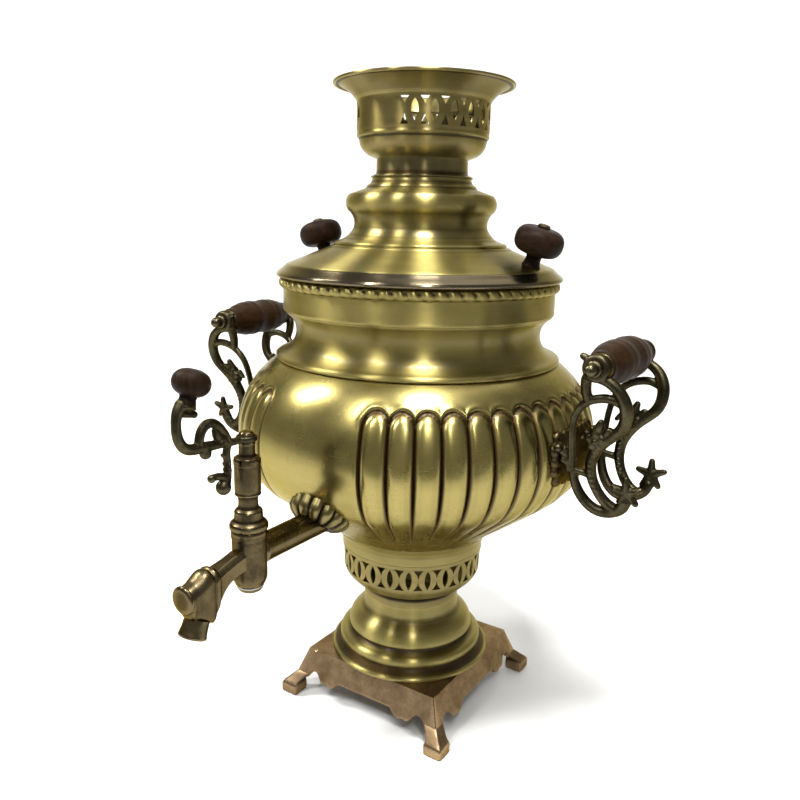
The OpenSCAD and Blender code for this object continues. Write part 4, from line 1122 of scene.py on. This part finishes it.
def tap_neck():
    """The flat-sided neck between barrel and cuff, with chamfered upper edges"""
    first, last, sections = 196, 223.4, []
    for out in np.linspace(first, last, 20):
        top = along(out, (first, 195.6), (204, 194.6), (213, 192.4), (last, 190.2))
        half = along(out, (first, 6.3), (212, 6.3), (219, 6.9), (last, 7.7))
        low = along(out, (first, 181.5), (203, 181), (208, 180.3), (212, 179.2), (216, 177.2), (219, 174.8),
                    (222.4, 171.2))
        right = [(half - 1.6, low), (half, low + 1.8), (half, top - 3.4), (half - 0.7, top - 2.6),
                 (half - 2.6, top - 0.4), (half - 3.4, top)]
        sections.append([(x, -out, z) for x, z in right] + [(-x, -out, z) for x, z in right[::-1]])
    shade_hollows(make("tap_neck", loft(sections), TAP, ["tap_body"], sharp=24), 2, 0.4)


def tap_head():
    """The shield-shaped head, whose lower edge slopes down to the nozzle, and the cuff before it"""
    cuff = [(222.2, 7.8, 191.2, 171, 2.4, 3), (222.7, 8.5, 192.6, 169.8, 2.4, 4),
            (224, 8.7, 193.2, 167.2, 2.4, 5), (225.4, 8.6, 193.3, 164.8, 2.4, 5),
            (226, 8, 192.6, 163.9, 2.4, 5), (226.6, 7.8, 192.3, 163, 2.4, 5)]
    shade_hollows(make("tap_cuff", spout_loft(cuff), TAP, ["tap_body"], sharp=60), 3, 0.4)
    first, last, kink = 226.2, 241.6, 227.6

    def slope(out):
        return 163.4 + (out - 235.3) * math.tan(math.radians(LEAN))
    rows = []
    for out in np.linspace(first, last, 18):
        t = (out - first) / (last - first)
        half = 7.7 + 0.7 * math.sin(math.pi * min(1, t * 1.3) ** 0.8)
        top = along(out, (first, 192), (227.4, 193.2), (229.6, 193.6), (232, 192.8), (235, 190.8),
                    (238, 189), (last, 187.9))
        low = slope(out) if out > kink else slope(kink) + (kink - out) * 1.6
        rows.append((out, half, top, low, 2.2, along(out, (226, 7), (232, 5), (238, 3.2), (last, 2.6))))
    rows += [(242.6, 8.1, 187.6, 168.2, 2.1, 2.3), (243.2, 7.9, 187.4, 170.2, 2, 2.1),
             (243.6, 7.6, 187.2, 172.2, 2, 2)]
    shade_hollows(make("tap_head", spout_loft(rows), TAP, ["tap_body"], sharp=48), 4, 0.4)


casting("tap_shank",
        turned_part([(0, 96), (SHANK_R, 96), (SHANK_R, 126), (SHANK_R - 0.2, 168), (SHANK_R, 181.5),
                     (SHANK_R + 0.5, 183.5), (0, 184)], moved(0, 0, TAP_Z, 90), 64),
        TAP, ["tap_body"])
lathe("tap_barrel",
      [(0, 169.5), (8.6, 169.5), (9.4, 170.3), (10.6, 173.4), (10.8, 175), (10.8, 200.2), (11.2, 201.2),
       (11.2, 204.8), (10.9, 206), (0, 206)],
      TAP, ["tap_body"], count=96, place=AT_TAP, edge=0.3, depth=0.8)
tap_neck()
tap_head()
lathe("tap_front_plug",
      [(0, 243), (8, 243), (8.5, 243.4), (8.7, 244), (8.6, 244.8), (8.2, 245.3), (6.8, 245.8),
       (4, 246), (0, 246.1)],
      TAP, ["tap_outlet_plug"], count=72, place=moved(0, 0, 180, 90), edge=0.3, depth=0.3)
lathe("tap_nozzle",
      [(5.4, 0.3), (7.7, 0), (8.4, 0.5), (8.6, 1.4), (8.3, 2.6), (7.9, 5.4), (7.7, 9), (7.7, 11.6), (5, 11.6),
       (4.9, 2)],
      TAP, count=72, place=AT_MOUTH, edge=0.3, depth=0.4)


def rosette():
    """Scallop shell of rounded petals round the shank, pressed from sheet and seated on the belly"""
    petals, per, rows, skirt, hole_r, seat = 14, 16, 22, 4, 6.5, 2.2
    out, height, lean = 123, 193, 141
    at = np.array(moved(0, -out, height, lean))
    m = petals * per
    points, value = [], []
    for i in range(rows):
        t = min(i / (rows - skirt - 1), 1)
        for j in range(m):
            across = 2 * ((j / per) % 1) - 1
            swell = math.sqrt(max(0, 1 - across ** 2))
            r = hole_r + (19.0 + 3.2 * swell - hole_r) * t
            h = float(np.interp(t, (0, 0.2, 0.45, 0.7, 0.88, 1), (4.6, 6, 6.4, 5.2, 3.4, 1)))
            h += (0.3 + 1.9 * math.sin(math.pi * t ** 0.8)) * (swell - 0.3)
            h -= 3.2 * max(0, i - rows + skirt + 1)
            a = 2 * math.pi * (j + 0.5) / m
            point = at @ (r * math.cos(a), r * math.sin(a), h, 1)
            while math.hypot(point[0], point[1]) <= belly_radius(point[2]) - seat:
                h += 0.4
                point = at @ (r * math.cos(a), r * math.sin(a), h, 1)
            points.append(point[:3])
            value.append(2.2 * (1 - swell) * (1.1 - 0.4 * t) + 1.3 * math.exp(-(t / 0.6) ** 2) - 0.2 * t)
    piece = make("tap_rosette", (points, [f[::-1] for f in grid(rows, m)]), ROSETTE,
                 cavity=np.clip(value, -1, 1), sharp=70)
    sheet = piece.modifiers.new("sheet", "SOLIDIFY")
    sheet.thickness = 0.9 * MM
    sheet.offset = -1


rosette()

# -------------------- key

LEVER_Z, KEY_KNOB_OUT, KEY_KNOB_Z, KEY_KNOB_LEAN = 264.4, 43.4, 297.4, 20
AT_KNOB = AT_TAP @ moved(0, -KEY_KNOB_OUT, KEY_KNOB_Z, -KEY_KNOB_LEAN)

lathe("key_stem",
      [(0, 206.4), (11.2, 206.4), (12, 207.2), (12, 209.4), (11.2, 210.8), (9.4, 212.2), (8.8, 213.2),
       (8.9, 214.4), (8.7, 218), (8.2, 218.8), (6.6, 220.2), (6.1, 222), (6.1, 226), (6.6, 227.8),
       (8, 228.8), (8.2, 229.6), (7.7, 230.6), (8.1, 231.6), (8.1, 247.6), (8.4, 248.4), (8.4, 250.8),
       (7.9, 252.4), (6.2, 253.2), (5.2, 253.4), (5, 254.2), (4.9, 260.2), (5.2, 261), (5.2, 262.6),
       (0, 262.6)],
      TAP, ["key_plug", "key_finial"], "tap_key", 88, AT_TAP, edge=0.3, depth=0.9)
lathe("key_cap",
      [(0, 266), (4.8, 266), (4.9, 266.8), (4.4, 267.8), (3.4, 268.5), (1.6, 268.8), (0, 268.9)],
      TAP, ["key_finial"], "tap_key", 48, AT_TAP, edge=0.2, depth=0.3)
lathe("key_end_nut",
      [(0, 163.9), (2.6, 164), (5.2, 164.6), (7.2, 165.8), (8.3, 167.4), (8.4, 168.2), (0, 168.2)],
      TAP, body="tap_key", count=56, place=AT_TAP, edge=0.2, depth=0.3)
lathe("key_washer", [(0, 168.25), (8.5, 168.25), (8.6, 168.8), (8.5, 169.3), (0, 169.3)],
      STEEL, body="tap_key", count=56, place=AT_TAP, edge=0.1)


def key_casting():
    """The lever with its curl up to the knob, an arch over it and a hook that hangs from its root.
    Strands are drawn as distance from the tank's axis, height, radius."""
    strands = [
        [(201, 264.2, 2.2), (206, 264.8, 2.4), (212, 265.4, 2.6), (218, 266, 2.9), (225, 266.6, 3.2),
         (232, 267, 3.3), (237.6, 268.6, 3.2), (241.6, 273, 3.1), (243.4, 279, 2.9), (243.4, 285.5, 2.9),
         (242, 290.5, 3.2), (239.2, 294, 3.7)],
        [(242, 289.6, 2.2), (236.5, 288, 1.9), (231.6, 286.8, 1.7)],
        [(205.5, 265.4, 2.4), (208.4, 270.4, 2.6), (212.6, 275.6, 2.8), (217.8, 279.2, 2.8),
         (223.2, 278.8, 2.9), (226.8, 274.8, 2.8), (228.2, 269.2, 2.8)],
        [(210.5, 268.6, 3), (214.2, 270.6, 2.8), (215.4, 274, 2.4)],
        [(224.5, 266, 3.2), (223.6, 262.6, 3.6)],
        [(206.2, 264.6, 2.5), (207.6, 259.5, 2.4), (207.2, 253, 2.3), (207.2, 247, 2.5), (208.4, 242, 3),
         (210.4, 239.2, 4.2)],
        [(209.5, 244.5, 2.6), (214.5, 246.2, 2.3), (218.8, 246.8, 2.1)],
        [(208, 256, 1.6), (211, 258.5, 1.2)],
        [(196, LEVER_Z, 2.3), (202, LEVER_Z, 2.3)]]
    parts = [tube([(0, -u, z, r) for u, z, r in points]) for points in strands]
    parts += [ball(0, -u, z, r)
              for u, z, r in ((230.6, 286.8, 2.1), (210.8, 238.6, 4.7), (219.8, 246.4, 2.6))]
    parts += [ball(x, -u, z, r, sx=0.8, count=10) for x in (-2.3, 2.3)
              for u, z, r in ((213, 268.6, 1.6), (209.4, 266.4, 1.3), (207.6, 252, 1.4), (207.4, 248.4, 1.4))]
    parts.append(turned_part([(0, 262.6), (5.8, 262.6), (6.5, 263.4), (6.5, 265.4), (5.8, 266.2), (0, 266.2)],
                             AT_TAP))
    parts.append(turned_part([(0, -7.5), (3.6, -7.5), (5.6, -6.2), (5.8, -4.6), (0, -4.6)], AT_KNOB))
    return fuse(parts, 0.5)


casting("key_scroll", key_casting(), CAST, body="tap_key")
lathe("key_knob",
      [(0, -5), (5.4, -5), (5.2, -3), (4.6, -1), (4.9, 0.6)] + arc(3.5, 8, 7.4, -68, 76, 20)
      + [(4.2, 15.6), (2.4, 15.8), (2.2, 15.2), (0, 15.2)],
      KEY_WOOD, body="tap_key", count=72, place=AT_KNOB, edge=0.4, step=0.8)

# -------------------- finishes of the CAD objects that stay

for finish, names in ((STEEL, ("base_studs", "lid_nuts")), (IRON, ("grate",)), (NECK, ("fire_tube",)),
                      (BRASS, ("tank_bottom",))):
    for name in names:
        for mat_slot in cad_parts[name].material_slots:
            mat_slot.material = finish
